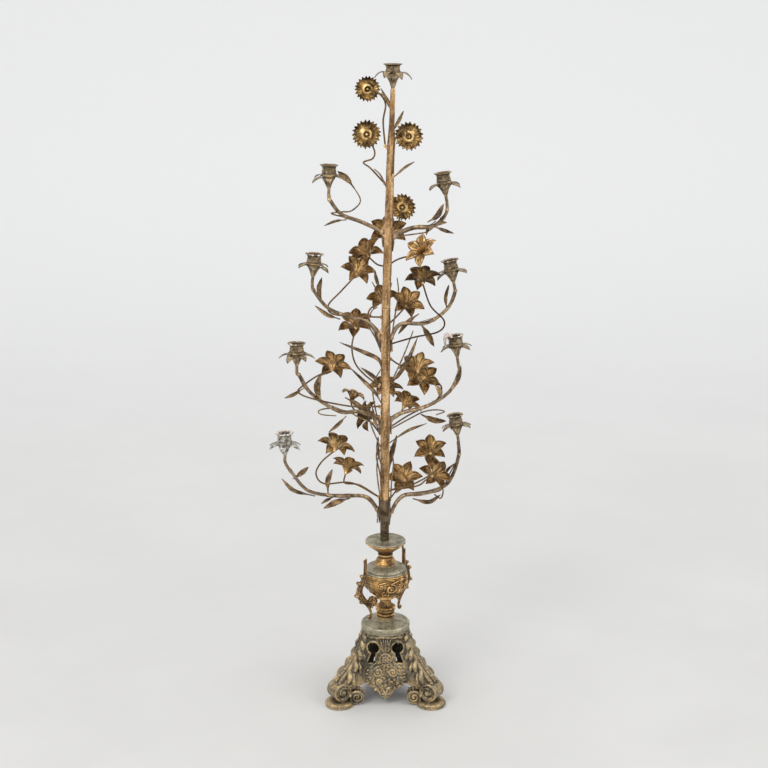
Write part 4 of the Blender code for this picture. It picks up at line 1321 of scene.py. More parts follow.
LOOSE_WIRES = {
    "left_4": [
        [(-66, -10, 877), (-91, -10, 884), (-74, -11, 887), (-57, -11, 889), (-42, -12, 906),
         (-54, -12, 930)]],
    "right_4": [
        [(10, 12, 838), (27, 14, 842), (49, 21, 844), (71, 27, 847), (86, 34, 857)]],
    "left_2": [
        [(-10, -8, 512), (-46, -12, 528), (-63, -14, 538), (-94, -15, 545), (-115, -17, 542),
         (-111, -18, 535), (-85, -20, 533)]],
    "right_2": [
        [(10, 12, 500), (44, 40, 511), (67, 43, 522), (89, 46, 525), (105, 49, 521), (90, 52, 514)]],
    "right_1": [
        [(89, 74, 357), (101, 76, 349), (105, 78, 365), (96, 80, 382)],
        [(90, 76, 360), (104, 88, 364), (120, 97, 394), (129, 100, 410)]],
    "stem_low": [
        [(-8, -8, 376), (-13, -7, 406), (-15, -7, 439), (-9, -6, 469)],
        [(-7, -4, 388), (-10, -4, 424), (-16, -6, 453), (-13, -8, 477)],
        [(-8, -4, 470), (-24, -6, 509), (-31, -8, 542), (-26, -10, 556)],
        [(9, -4, 372), (11, 0, 410), (14, 4, 440), (9, 4, 470)],
        [(-8, 4, 500), (-18, 6, 540), (-22, 8, 580), (-8, 6, 610)]],
    "stem_middle": [
        [(9, 8, 585), (18, 12, 602), (34, 16, 638), (48, 20, 675)],
        [(-7, 4, 640), (-17, 6, 665), (-30, 8, 690), (-24, 8, 712), (-14, 6, 720)],
        [(9, 6, 640), (14, 8, 690), (22, 12, 740), (20, 12, 770)]],
    "stem_top": [
        [(2, -6, 926), (-8, -4, 947), (-19, -4, 958)],
        [(-6, 0, 727), (-12, 3, 744), (-23, 6, 764)],
        [(12, 5, 1040), (9, 7, 1058), (-3, 6, 1078), (-16, 8, 1084)]],
}


# %% A folded leaf
def leaf_shape(route, half, seed):
    """A lance-shaped strip with a folded middle, on a short round stalk."""
    rng = random.Random(seed)
    rows, cols = 22, 9
    line = smooth_line(route, rows)
    way = np.gradient(line, axis=0)
    way /= np.linalg.norm(way, axis=1)[:, None]
    face = np.array(facing(-90 + rng.uniform(-38, 38), rng.uniform(-5, 30)))
    side = np.cross(way, face)
    side /= np.linalg.norm(side, axis=1)[:, None]
    out = np.cross(side, way)
    share = np.linspace(0, 1, rows)
    wide = half * np.interp(share, (0, 0.16, 0.34, 0.62, 0.86, 1), (0.22, 0.3, 0.85, 1.0, 0.55, 0.06))
    across = np.linspace(-1, 1, cols)
    points = line[:, None] + side[:, None] * (wide[:, None] * across[None, :])[..., None]
    fold = wide[:, None] * 0.42 * np.abs(across)[None, :] ** 1.3
    wave = 0.5 * np.sin(share * rng.uniform(6, 11))[:, None] * across[None, :]
    points = points + out[:, None] * (fold + wave)[..., None]
    vein = tube(line[:rows - 3] + out[:rows - 3] * 0.1, (0.8, 0.55, 0.3), sides=8, count=26)
    stalk = tube(np.array([line[0] - way[0] * 2.5, line[0], line[4]]), (1.3, 1.1, 0.7), sides=8, count=8)
    return joined([sheet(points, 0.7), vein, stained(stalk, 0.6)])


for number, (label, leaves) in enumerate(LEAVES.items()):
    shapes = [leaf_shape(route, half, 500 + 20 * number + k) for k, (half, route) in enumerate(leaves)]
    for route in LOOSE_WIRES.get(label, []):
        wire = wires([(route, (1.25, 1.35, 1.25, 1.0))], LEAF, sides=10, step=2.2)
        shapes.append(stained(wire, 0.45))
    finished(f"leaves_{label}", shapes, LEAF, "bouquet", "bronze")
print(sum(len(leaves) for leaves in LEAVES.values()), "leaves and",
      sum(len(routes) for routes in LOOSE_WIRES.values()), "loose wires")

# %% [markdown]
# ## Old wax
# Candles have burnt in some of the cups. Wax sits on their floors, clings to the flared rims and
# has run over the side of two of them. It is melted together from drops the same way as the
# castings, at a fine voxel, so that drips join the puddle smoothly. Each waxed cup is given by
# its number of drops on the rim and of drips down its side.


# %% Wax in the cups
WAXED = {"left_1": (34, 5), "left_2": (6, 0), "left_3": (8, 0), "right_1": (4, 0), "right_2": (22, 4),
         "right_3": (8, 0), "right_4": (3, 0)}
# Lumps on an arm, from the last spot of its route.
WAX_ON_ARM = {"right_4": [(-5.1, -1.2, -6.3), (-3.6, -0.6, -7.5), (-6.6, -1.5, -7.8)]}
# The sheet of wax that hangs over one rim, from the middle of that rim.
CURTAIN = [(-6, -6, 0), (-14, -7, 1), (-17.5, -6, -5), (-17.5, -5, -12), (-16.5, -5, -18)]


def wax_shape(label, drops, drips, seed):
    """The puddle in one cup, with its drops, its drips and what fell beside it."""
    rng = random.Random(seed)
    light = ARM_LIGHTS[label]
    axis = Vector(light["lean"]).normalized()
    foot = Vector(light["rim"]) - axis * (GAP + NOZZLE_HEIGHT)
    puddle = [(0, 1.2), (10.7, 1.2), (10.9, 3.4), (9.0, 4.4), (5.2, 3.6), (0, 3.4)]
    shapes = [turned(puddle, 48, lambda turns, height: 1 + 0.02 * np.sin(3 * turns + seed))]
    for _ in range(drops):
        angle = rng.uniform(0, 360)
        reach = rng.uniform(11.6, 15.2)
        size = rng.uniform(0.9, 2.1)
        shapes.append(blob(polar(reach, angle, NOZZLE_HEIGHT - 0.3), (size * 1.5, size * 1.3, size * 0.7),
                           Matrix.Rotation(radians(angle), 4, "Z"), sides=12))
    for _ in range(drips):
        angle = 175 + rng.uniform(-75, 75)
        length = rng.uniform(7, 17)
        steps = ((11.5, 0, 0.2), (13.6, 0, 0), (15.6, 0, 2.2), (15.2, 3, length * 0.6), (14.6, 4, length))
        route = [polar(reach, angle + twist, NOZZLE_HEIGHT - fall) for reach, twist, fall in steps]
        width = rng.uniform(1.3, 2.3)
        shapes.append(tube(route, (width * 0.8, width, width, width * 0.8, width * 1.2), sides=12, count=24))
    turn = stood(foot, axis)
    shapes = [moved(shape, turn) for shape in shapes]
    for spot in WAX_ON_ARM.get(label, []):
        shapes.append(blob(np.array(light["route"][-1], float) + np.array(spot), (4, 3, 3), sides=12))
    if label == "right_2":
        rim = np.array(light["rim"], float)
        for shift in (0, 4):
            route = [rim + np.array(spot) + np.array([0, shift, shift * 0.4]) for spot in CURTAIN]
            shapes.append(tube(route, (3.0, 3.4, 2.8, 2.4, 1.4), sides=12, count=24))
        shapes.append(blob(rim + np.array([-9, -9, 1.5]), (5, 4, 3), sides=14))
    return shapes


for number, (label, (drops, drips)) in enumerate(WAXED.items()):
    shapes = wax_shape(label, drops, drips, 90 + number)
    made = fused(f"wax_{label}", shapes, voxel=0.5, keep=0.5, smooth=3)
    hand_over(made, WAX, "bouquet", "bronze")

# %% [markdown]
# ## Relief for the castings
# The foot and the urn are cast zinc with scrolls, leaves and rosettes that stand a millimetre or
# two above the wall. Sculpting them by hand would be slow, so they are drawn as round strands
# on a surface: a place function turns a spot (x, z, lift) into a point above the casting. All
# strands and walls are then melted together with a voxel remesh, which gives the soft joints
# of a real casting. Small seeded lobes fill the ground between the big scrolls.


# %% Strands on a surface
def ring_on(place, x, z, radius, thick, lift=0.5):
    turns = np.linspace(0, 2 * pi, 22)
    route = [place(x + radius * cos(a), z + radius * sin(a), lift) for a in turns]
    return tube(route, (thick, thick), sides=8, count=34)


def scroll_on(place, x, z, radius, thick, hand=1, start=90, turns=1.6, lift=0.6, tail=None):
    """A volute that winds in from start; tail is a spot that it runs in from."""
    steps = int(12 * turns) + 1
    route = []
    for share in np.linspace(0, 1, steps):
        a = radians(start + hand * 360 * turns * share)
        reach = radius * (1 - 0.85 * share)
        route.append(place(x + reach * cos(a), z + reach * sin(a), lift + 1.4 * share))
    if tail:
        route = [place(*spot, lift) for spot in tail] + route
    core = blob(place(x, z, lift + 0.8), (thick * 1.2,) * 3, sides=10)
    strand = tube(route, (thick * 0.6, thick, thick, thick * 0.8), sides=8, count=4 * steps)
    return joined([strand, core])


def lobe_on(place, x, z, angle, length, width, lift=0.4):
    """One leaf lobe: a short strand that swells and comes to a point."""
    way = (cos(radians(angle)), sin(radians(angle)))
    route = [place(x + way[0] * length * s, z + way[1] * length * s, lift + 0.9 * sin(3 * s))
             for s in (0, 0.35, 0.7, 1)]
    return tube(route, (width * 0.45, width, width * 0.8, width * 0.2), sides=8, count=12)


def rosette_on(place, x, z, radius, petals=8, lift=0.6):
    shapes = [lobe_on(place, x + radius * 0.25 * cos(a), z + radius * 0.25 * sin(a),
                      math.degrees(a), radius * 0.68, radius * 0.2, lift)
              for a in np.linspace(0, 2 * pi, petals, endpoint=False)]
    shapes.append(blob(place(x, z, lift + 1.2), (radius * 0.27,) * 3, sides=12))
    shapes.append(ring_on(place, x, z, radius * 0.42, radius * 0.08, lift + 0.9))
    return joined(shapes)


def strap(path, halves, depths, side, sides=20):
    """A solid band along a path; halves are its half widths along side, depths its thickness."""
    count = 5 * len(path)
    line = smooth_line(path, count)
    share = np.linspace(0, 1, count)
    wide = np.interp(share, np.linspace(0, 1, len(halves)), halves)
    deep = np.interp(share, np.linspace(0, 1, len(depths)), depths)
    side = np.asarray(side, float)
    turns = np.linspace(0, 2 * pi, sides, endpoint=False)
    ways = np.gradient(line, axis=0)
    rows = []
    for spot, way, half, depth in zip(line, ways, wide, deep):
        out = np.cross(side, way)
        out /= np.linalg.norm(out) + 1e-9
        rows.append(spot + half * np.outer(np.cos(turns), side) + depth * np.outer(np.sin(turns), out))
    rows = [np.repeat(line[:1], sides, 0)] + rows + [np.repeat(line[-1:], sides, 0)]
    return grid(np.array(rows), wrap=True)


def cut_by(shape, cutter):
    """The shape less the cutter, both closed."""
    target = raw_object("cut_target", shape, centre=False)
    tool = raw_object("cut_tool", cutter, centre=False)
    step = target.modifiers.new("cut", "BOOLEAN")
    step.operation = "DIFFERENCE"
    step.solver = "EXACT"
    step.object = tool
    result = shape_of(settled(target))
    bpy.data.objects.remove(tool, do_unlink=True)
    return result


# %% [markdown]
# ## The tripod foot
# The foot is one casting: a hollow bell that runs out into three leafy legs, each ending in a
# scroll on a round pad. Each face between two legs carries a pierced panel with two keyhole
# openings, a rosette, volutes and a pendant flower. The bell and its holes are cut first, then
# all the relief is melted on. The same face is made three times, with its own seeded lobes.


# %% The bell and its keyholes
FOOT_ANGLES = (210, 330, 90)
FACE_ANGLES = (270, 30, 150)
FOOT_REACH = 95.0
# Each level of the bell: its height, then how far its faces and its corners stand from the rod.
BELL_LEVELS = [(130, 41, 42.5), (118, 41, 47), (100, 43, 55), (84, 44, 65), (66, 44, 77), (50, 42, 88),
               (37, 39, 95)]
BELL_WALL = 4.5
BELL_SHARPNESS = 2.2
ARCH_RISE = 17
ARCH_TOP = 82
EYE_ACROSS = 21.5
EYE_HEIGHT = 105
EYE_RADIUS = 9.8
EYE_STEPS = 24


def bell_row(level, inset, sides=120):
    """One ring of the bell; its lower edge arches up between a foot and the middle of a face."""
    height, face, corner = level
    turns = np.linspace(0, 360, sides, endpoint=False)
    swing = 0.5 + 0.5 * np.cos(np.radians(3 * (turns - FOOT_ANGLES[2])))
    reach = face + (corner - face) * swing ** BELL_SHARPNESS - inset
    arch = ARCH_RISE * np.exp(-((swing - 0.36) / 0.26) ** 2) * max(0.0, (ARCH_TOP - height) / 45)
    return np.array([polar(r, a, height + up) for r, a, up in zip(reach, turns, arch)])


def bell_reach(turn, z):
    """How far the wall stands from the rod at a turn, in radians, away from the middle of a face."""
    heights, faces, corners = np.array(BELL_LEVELS[::-1], float).T
    swing = 0.5 - 0.5 * cos(3 * turn)
    face = np.interp(z, heights, faces)
    return face + (np.interp(z, heights, corners) - face) * swing ** BELL_SHARPNESS


def bell():
    levels = smooth_line(BELL_LEVELS, 25)
    outside = [bell_row(level, 0) for level in levels]
    inside = [bell_row(level, BELL_WALL) for level in levels[::-1]]
    return grid(np.array(outside + inside + outside[:1]), wrap=True)


def keyhole(degrees, side):
    """A prism through the wall: a round eye over a slot that flares outwards."""
    turns = np.linspace(-1.2, pi + 1.2, EYE_STEPS)
    edge = [(EYE_RADIUS * cos(a), EYE_HEIGHT + EYE_RADIUS * sin(a)) for a in turns]
    edge += [(-3.4, 95), (-3.0, 78), (11.0, 78), (3.8, 95)]
    rows = []
    for reach in (20, 75):
        rows.append([polar(reach, degrees, z) + polar(side * (EYE_ACROSS + x), degrees + 90)
                     for x, z in edge])
    rows = [[np.mean(rows[0], axis=0)] * len(edge)] + rows + [[np.mean(rows[1], axis=0)] * len(edge)]
    return grid(np.array(rows), wrap=True)


pierced = bell()
for degrees in FACE_ANGLES:
    for side in (-1, 1):
        pierced = cut_by(pierced, keyhole(degrees, side))
print("pierced bell", len(pierced[1]), "faces")


# %% [markdown]
# A face is flat in its lower part, where a plate with a shaped edge carries the volutes, and
# round above, where the relief lies on the bell itself. Two place functions say which is meant.
# Left and right mirror each other, so most strands are drawn in one loop over the two sides.


# %% One face of the foot
# The panel's edge: its half width at each height.
PANEL_EDGE = [(10, 1), (14, 7), (20, 11), (27, 16), (34, 27), (42, 34), (52, 36), (62, 34), (70, 31),
              (76, 22), (82, 15), (90, 13), (96, 3)]
PLATE_COLS = 13
ROSETTE_HEIGHT = 86
PENDANT_HEIGHT = 21
GROUND_LOBES = 30


def face_place(degrees):
    """Turns a spot on a face's panel into a point: x across, z up, lift outwards."""
    def place(x, z, lift=0.0):
        reach = 50.5 - 0.0822 * z + lift
        return polar(reach, degrees, z) + polar(x, degrees + 90)
    return place


def bell_place(degrees):
    """The same on the curved wall of the bell; a few rounds find the turn that x stands at."""
    def place(x, z, lift=0.0):
        turn = x / 50
        for _ in range(5):
            turn = math.asin(min(0.95, max(-0.95, x / bell_reach(turn, z))))
        return polar(bell_reach(turn, z) + lift, degrees + math.degrees(turn), z)
    return place


def face_shapes(degrees, seed):
    rng = random.Random(seed)
    place = face_place(degrees)
    wall = bell_place(degrees)
    shapes = []
    add = shapes.append
    across = np.linspace(-1, 1, PLATE_COLS)
    plate = []
    for z, half in smooth_line(np.array(PANEL_EDGE)[:, [0, 1, 1]], 46)[:, :2]:
        front = [place(x * half, z, 1.2) for x in across]
        back = [place(x * half, z, -3.6) for x in across * -1]
        plate.append(front + back)
    ends = [[np.mean(row, axis=0)] * (2 * PLATE_COLS) for row in (plate[0], plate[-1])]
    add(grid(np.array(ends[:1] + plate + ends[1:]), wrap=True))

    disc = [place(0, ROSETTE_HEIGHT, lift) for lift in (-2, 1, 3)]
    add(tube(disc, (11.5, 10.8, 9.6), sides=28))
    add(rosette_on(place, 0, ROSETTE_HEIGHT, 8.6, 8, lift=3.4))
    add(ring_on(place, 0, ROSETTE_HEIGHT, 10.2, 1.7, 2.6))
    for lean in range(-150, -20, 26):
        way = radians(lean)
        x, z = 11 * cos(way), ROSETTE_HEIGHT + 11 * sin(way)
        add(lobe_on(place, x, z, lean, 6, 2.4, 1.0))
    for side in (-1, 1):
        hand = -side
        add(scroll_on(place, side * 13, 62, 9.5, 2.1, hand, 90, 1.6, 1.4,
                                tail=[(side * 2, 66), (side * 6, 72)]))
        add(scroll_on(place, side * 28, 50, 7.5, 1.9, -hand, 80, 1.4, 1.2,
                                tail=[(side * 33, 72), (side * 37, 66), (side * 36, 58)]))
        add(scroll_on(place, side * 11, 42, 6.0, 1.7, hand, 60, 1.3, 1.4))
        for lean, reach in ((10, 12), (38, 14), (64, 11), (-18, 12)):
            add(lobe_on(place, side * 22, 60, 90 - side * (90 - lean), reach, 2.3, 0.8))
        for lean, reach in ((-25, 9), (-55, 11), (-80, 11)):
            add(lobe_on(place, side * 20, 47, 90 - side * (90 - lean), reach, 2.2, 0.8))
        for step in range(7):
            z = 34 + 6.4 * step
            half = np.interp(z, *zip(*PANEL_EDGE))
            lean = 90 - side * (60 + 9 * step)
            add(lobe_on(place, side * (half - 5), z, lean, 8, 2.6, 0.4))
        eye_route = [wall(side * EYE_ACROSS + 11.6 * cos(a), EYE_HEIGHT + 11.4 * sin(a), 0.4)
                     for a in np.linspace(-0.9, pi + 0.9, 18)]
        add(tube(eye_route, (0.8, 1.3, 0.8), sides=8, count=30))
        for lean, reach in ((74, 26), (60, 14), (86, 27)):
            add(lobe_on(wall, side * 2, 98, 90 - side * (90 - lean), reach, 2.2, 0.7))
        for x, z, lean, reach in ((36, 124, -96, 18), (39, 116, -92, 26), (31, 123, 175, 12),
                                  (10, 124, 10, 11)):
            add(lobe_on(wall, side * x, z, 90 - side * (90 - lean), reach, 2.2, 0.6))
    add(lobe_on(wall, 0, 97, 90, 25, 2.2, 1.2))
    add(tube([wall(x, 125.5, 0.6) for x in np.linspace(-32, 32, 9)], (1.4, 1.4), sides=8))

    for _ in range(GROUND_LOBES):
        z = rng.uniform(26, 70)
        half = np.interp(z, *zip(*PANEL_EDGE)) - 4
        x = rng.uniform(-half, half)
        if (x ** 2 + (z - 85) ** 2) > 15 ** 2:
            add(lobe_on(place, x, z, rng.uniform(0, 360), rng.uniform(5, 9), rng.uniform(1.4, 2.0), 0.7))
    add(rosette_on(place, 0, PENDANT_HEIGHT, 8.0, 6, lift=1.6))
    for side in (-1, 1):
        add(lobe_on(place, side * 4, PENDANT_HEIGHT + 8, 90 - side * 50, 11, 2.0, 0.8))
    add(lobe_on(place, 0, PENDANT_HEIGHT - 3, -90, 8, 2.6, 0.4))
    return shapes


# %% [markdown]
# A leg's back is a ridge line of (radius, height) spots. A solid strap lies under it, and fat
# lobes fan out from it to both sides like a leaf, wider towards the foot. The leg ends in a
# rolled scroll with a round eye, on a pad with a beaded edge, with two small scrolls beside it.


# %% One leg with its scroll and pad
RIDGE_STEPS = 80
DRUM_HALF = 13.5
SCROLL_HALF = 4.5
RIDGE = [(43, 128), (47, 120), (52, 109), (59, 95), (68, 80), (80, 65), (94, 52), (106, 41)]


def leg_shapes(degrees, seed):
    rng = random.Random(seed)
    side = polar(1, degrees + 90)
    up = np.array([0, 0, 1.0])

    def spot(r, z, t=0.0):
        return polar(r, degrees, z) + side * t

    shapes = []
    add = shapes.append
    inner = [spot(r - back, z - back * 0.7) for (r, z), back in zip(RIDGE, np.linspace(3, 10, len(RIDGE)))]
    add(strap(inner, (7, 9, 13, 17, 17, 15), (3.5, 4, 7, 10, 11, 10), side, sides=28))
    ridge = smooth_line([(r, z, 0) for r, z in RIDGE], RIDGE_STEPS)[:, :2]
    slope = np.gradient(ridge, axis=0)
    slope /= np.linalg.norm(slope, axis=1)[:, None]

    def on_leg(share, t, lift):
        """A spot on the leg's back: share runs down it, t across, lift out from it."""
        i = min(RIDGE_STEPS - 1, max(0, int(share * (RIDGE_STEPS - 1))))
        r, z = ridge[i]
        dr, dz = slope[i]
        round_off = 0.016 * t ** 2
        return spot(r - dz * (lift - round_off), z + dr * (lift - round_off), t)

    for sign in (-1, 1):
        spread, stop = 7.5, 0.92
        ends = np.linspace(0, stop, 7)
        route = [on_leg(s, sign * (1.0 + spread * (0.25 + 0.75 * s / stop)), 0.2) for s in ends]
        route.append(on_leg(stop + 0.04, sign * (spread + 4), 2.2))
        add(tube(route, (2.0, 3.8, 4.6, 4.4, 3.0), sides=12, count=40))
        for share in np.arange(0.06, 0.86, 0.16):
            edge = 6.5 + 17 * share
            leaf = [on_leg(share, sign * 4, 0.4), on_leg(share + 0.03, sign * edge * 0.6, 1.2),
                    on_leg(share + 0.09, sign * edge, 0.9), on_leg(share + 0.15, sign * (edge + 2.5), 0.5)]
            add(tube(leaf, (2.2, 4.2, 5.2, 2.2), sides=12, count=16))
            if share < 0.3:
                continue
            tip = [on_leg(share + 0.02, sign * (edge - 2), -1), on_leg(share + 0.08, sign * (edge + 3), -4),
                   on_leg(share + 0.13, sign * (edge + 4), -9)]
            add(tube(tip, (2.2, 4.0, 2.0), sides=10, count=12))
    rib = [on_leg(s, 0, 1.2) for s in np.linspace(0, 0.95, 9)]
    add(tube(rib, (1.6, 3.0, 3.4, 2.4), sides=10, count=40))
    for share in np.arange(0.5, 0.92, 0.12):
        size = rng.uniform(2.4, 2.9)
        add(blob(on_leg(share, 0, 3.2), (size, size, size * 1.2), sides=10))

    centre = (FOOT_REACH + 1, 27.5)
    roll = []
    for s in np.linspace(0, 1, 20):
        a = radians(115 - 500 * s)
        reach = 17.6 - 11.5 * s
        roll.append(spot(centre[0] + reach * cos(a), centre[1] + reach * sin(a)))
    add(strap(roll, (15, 17, 17, 16, 18, 19), (2.4, 2.6, 2.4, 2.2), side, sides=16))
    drum_side = [spot(*centre, t) for t in (-13, -6, 6, 13)]
    add(tube(drum_side, (13.5, 14.5, 14.5, 13.5), sides=28))
    for sign in (-1, 1):
        def drum(x, z, lift=0.0, sign=sign):
            return spot(centre[0] + x, centre[1] + z, sign * (DRUM_HALF + lift))
        add(ring_on(drum, 0, 0, 15.2, 2.0, 1.0))
        add(ring_on(drum, 0, 0, 10.4, 1.5, 0.6))
        add(blob(drum(0, 0, 2.0), (5.4, 5.4, 5.4), sides=14))
        add(blob(drum(2, -11, 1.6), (3.0, 3.0, 2.2), sides=10))
        for a in np.linspace(20, 340, 9):
            add(lobe_on(drum, 11 * cos(radians(a)), 11 * sin(radians(a)), a + 50, 6, 1.2, 1.0))

    pad = [(0, 0), (25.8, 0), (26.6, 1.0), (26.6, 3.2), (25.2, 4.4), (25.8, 5.8), (24.6, 8.0),
           (21, 9.2), (0, 9.2)]
    at = Matrix.Translation(Vector(polar(FOOT_REACH, degrees)))
    add(moved(turned(pad, 72), at))
    beads = ring_of((bead[0] * 1.7, bead[1]), 36, radius=25.3)
    add(moved(beads, Matrix.Translation((0, 0, 4.6)) @ at))

    for sign in (-1, 1):
        toward = degrees + sign * 150
        axis = polar(1, toward + 90)
        out = polar(1, toward)
        low = polar(FOOT_REACH, degrees) + polar(31, toward, 15.5)

        def scroll_side(flip, low=low, axis=axis, out=out):
            return lambda x, z, lift=0.0: low + out * x + up * z + axis * flip * (SCROLL_HALF + lift)
        core = [low - axis * SCROLL_HALF, low, low + axis * SCROLL_HALF]
        add(tube(core, (11.5, 12.4, 11.5), sides=24))
        for flip in (1, -1):
            add(scroll_on(scroll_side(flip), 0, 0, 11, 1.6, sign * flip, 180, 1.8, 0.8))
            add(ring_on(scroll_side(flip), 0, 0, 12, 1.3, 0.2))
        boss = polar(FOOT_REACH, degrees) + polar(17, toward, 20)
        add(blob(boss, (7.5, 7.5, 7), sides=16))
        add(blob(boss + polar(7, degrees + sign * 70, 0), (4.4, 4.4, 4.4), sides=12))
        link = [spot(98, 40, sign * 8), boss + up * 12 + polar(6, toward), low + up * 17 + out * 2,
                low + up * 8 + out * 14]
        add(tube(link, (3.5, 3.6, 3.0, 1.6), sides=10))
        for k in range(3):
            add(lobe_on(scroll_side(-sign), 6 - 5 * k, 11 + 1.5 * k, 60 + 20 * k, 10, 2.2, -3))
    return shapes


# %% [markdown]
# Everything of the foot goes into one voxel remesh of just under a millimetre. The casting is
# hollow, and the walls that face the rod and the undersides near it are marked dark: old soot and painted
# shade.


# %% Melt the foot
ROD_HOLE = 4.4
SOOT_AND_SHADE_TOP = 126
SOOT_AND_SHADE_REACH = 90
SOOT_AND_SHADE_MIDDLE = 0.040
foot_parts = [pierced]
top_web = [(40, 130), (40, 124), (ROD_HOLE, 124), (ROD_HOLE, 130), (40, 130)]
foot_parts.append(turned(top_web, 90))
for number, degrees in enumerate(FACE_ANGLES):
    foot_parts += face_shapes(degrees, 300 + number)
for number, degrees in enumerate(FOOT_ANGLES):
    foot_parts += leg_shapes(degrees, 400 + number)
print(len(foot_parts), "parts in the foot")
tripod = fused("tripod_casting", foot_parts, voxel=0.95, keep=0.42, smooth=3)


def soot_and_shade_inside(obj, top, reach):
    """Marks the walls that face the rod inside a hollow casting, and undersides near the rod, as dark as a
    cut edge: old soot and painted shade.
    """
    mesh = obj.data
    values = []
    for point, normal in zip(mesh.vertices, mesh.vertex_normals):
        flat = Vector((point.co.x - AXIS.x, point.co.y - AXIS.y, 0))
        inward = -flat.normalized().dot(normal.vector)
        # Undersides near the rod are darkened too: painted shade.
        under = -normal.vector.z if flat.length < SOOT_AND_SHADE_MIDDLE else 0.0
        low = point.co.z < top * MM and flat.length < reach * MM
        values.append(min(1.0, max(0.0, 2.5 * max(inward - 0.2, under - 0.3))) if low else 0.0)
    store(mesh, "rim", values)


soot_and_shade_inside(tripod, SOOT_AND_SHADE_TOP, SOOT_AND_SHADE_REACH)
hand_over(tripod, GILT_CASTING, "base", "spelter", "tripod_base")

# %% [markdown]
# ## The plates and turned pieces of the stack
# The urn, its foot, the collar and the dish are separate shells threaded on the rod. They are
# turned shapes, so each is one profile. The cap plate, the shoulder and the dish plate are bare
# zinc gone grey-green, and they were hammered rather than turned true, so their tops get a
# slow wave.


# %% Helpers for the turned pieces
def tool_marks(strength):
    """The slow wave of a plate that was hammered flat."""
    def wave(turns, height):
        return 1 + strength * np.cos(3 * turns + height) + strength * 0.6 * np.cos(7 * turns + 2 * height)
    return wave


def turned_piece(name, profile, finish, body, slot, node, sides=96, wave=None, extra=()):
    """One turned piece of the stack, handed over to its body."""
    shapes = [turned(profile, sides, wave)] + list(extra)
    obj = finished(name, shapes, finish, body, slot, node, rounds=8, crisp=35)
    print(name, len(obj.data.polygons), "faces")


def fine(profile, step=1.6):
    """More points along a profile, so that waves and wear have something to work on."""
    line = np.asarray(profile, float)
    out = [line[0]]
    for a, b in zip(line, line[1:]):
        count = max(1, int(np.linalg.norm(b - a) / step))
        out += [a + (b - a) * n / count for n in range(1, count + 1)]
    return out


# %% The cap plate and the urn's foot
cap_line = [(ROD_HOLE, 150), (17, 150), (20, 149), (26, 146), (33, 142.6), (38, 140.8), (40, 141.4),
            (42, 141.2), (43.5, 139.8), (44.1, 137), (43.8, 134), (42.6, 132), (43, 130.3),
            (ROD_HOLE, 130.3), (ROD_HOLE, 150)]
turned_piece("cap_disc", fine(cap_line), SPELTER, "base", "spelter", "cap_plate", wave=tool_marks(0.004))

pedestal_line = [(ROD_HOLE, 193), (19.5, 193), (20, 191.5), (19.6, 189.8), (16, 188.8), (12.2, 187.2),
                 (10.6, 185), (10.0, 181), (10.2, 178), (11.4, 175.4), (13.8, 173.2), (16.6, 171.6),
                 (18.2, 170.4),
                 (18.4, 169.2), (17.6, 168.4), (17.6, 165), (16.6, 162.4), (15.0, 160.8), (14.4, 159.8),
                 (15.2, 158.8), (16.6, 158.0), (16.8, 156.6), (15.4, 155.4), (14.6, 154.2), (14.8, 152.4),
                 (16.2, 151.4), (16, 150.3), (ROD_HOLE, 150.3), (ROD_HOLE, 193)]
turned_piece("urn_pedestal", fine(pedestal_line, 1.2), URN_GILT, "urn", "gilt", "pedestal")


# %% The urn's shoulder and collar
shoulder_line = [(ROD_HOLE, 252.5), (19.0, 252.5), (20, 251.6), (25, 250.8), (30, 249), (34, 246.6),
                 (36.2, 244.6), (36.4, 243.2), (35.2, 242.0), (36.6, 241.2), (37.8, 240.2), (37.9, 239),
                 (37.2, 238.3), (33, 238.3), (28, 246), (ROD_HOLE, 249), (ROD_HOLE, 252.5)]
turned_piece("shoulder_disc", fine(shoulder_line), SPELTER, "urn", "spelter", "urn_shoulder",
             wave=tool_marks(0.005))

collar_line = [(ROD_HOLE, 269.7), (13.0, 269.7), (13.2, 268.6), (11.6, 267.4), (11.4, 266.4), (12.8, 265.6),
               (13.4, 264.4), (14.4, 262.6), (15.8, 260.2), (17.2, 257.6), (18.4, 255.8), (18.4, 255.0),
               (19.4, 254.4), (19.2, 252.8), (ROD_HOLE, 252.8), (ROD_HOLE, 269.7)]
# Each belt of beads: the size, the count, the reach and the height of its beads.
belts = [moved(ring_of((bead[0] * size, bead[1]), count, radius=reach), Matrix.Translation((0, 0, height)))
         for size, count, reach, height in ((1.5, 30, 17.0, 257.8), (1.3, 26, 15.0, 261.6))]
turned_piece("collar_ring", fine(collar_line, 1.0), URN_GILT, "urn", "gilt", "neck_collar", extra=belts)


# %% The dish
DISH_FOOT = 274
DISH_DEPTH = 18
dish_line = [(32, 294.3), (35.2, 294.3), (35.6, 293), (34.2, 291.8), (32.4, 289.6), (28, 286.4),
             (22.6, 282.2), (18, 278.6), (15, 276), (13.0, 273.8), (12.4, 272.4), (13.6, 271.4),
             (13.4, 270), (ROD_HOLE, 270), (ROD_HOLE, 276), (16, 281), (29, 289.5), (32, 294.3)]


def gadroons(turns, height):
    """Rounded flutes on the underside of the dish, fading out at its foot and lip."""
    depth = 0.02 * sin(pi * np.clip((height - DISH_FOOT) / DISH_DEPTH, 0, 1))
    return 1 - depth * np.abs(np.cos(14 * turns)) + depth * 0.5


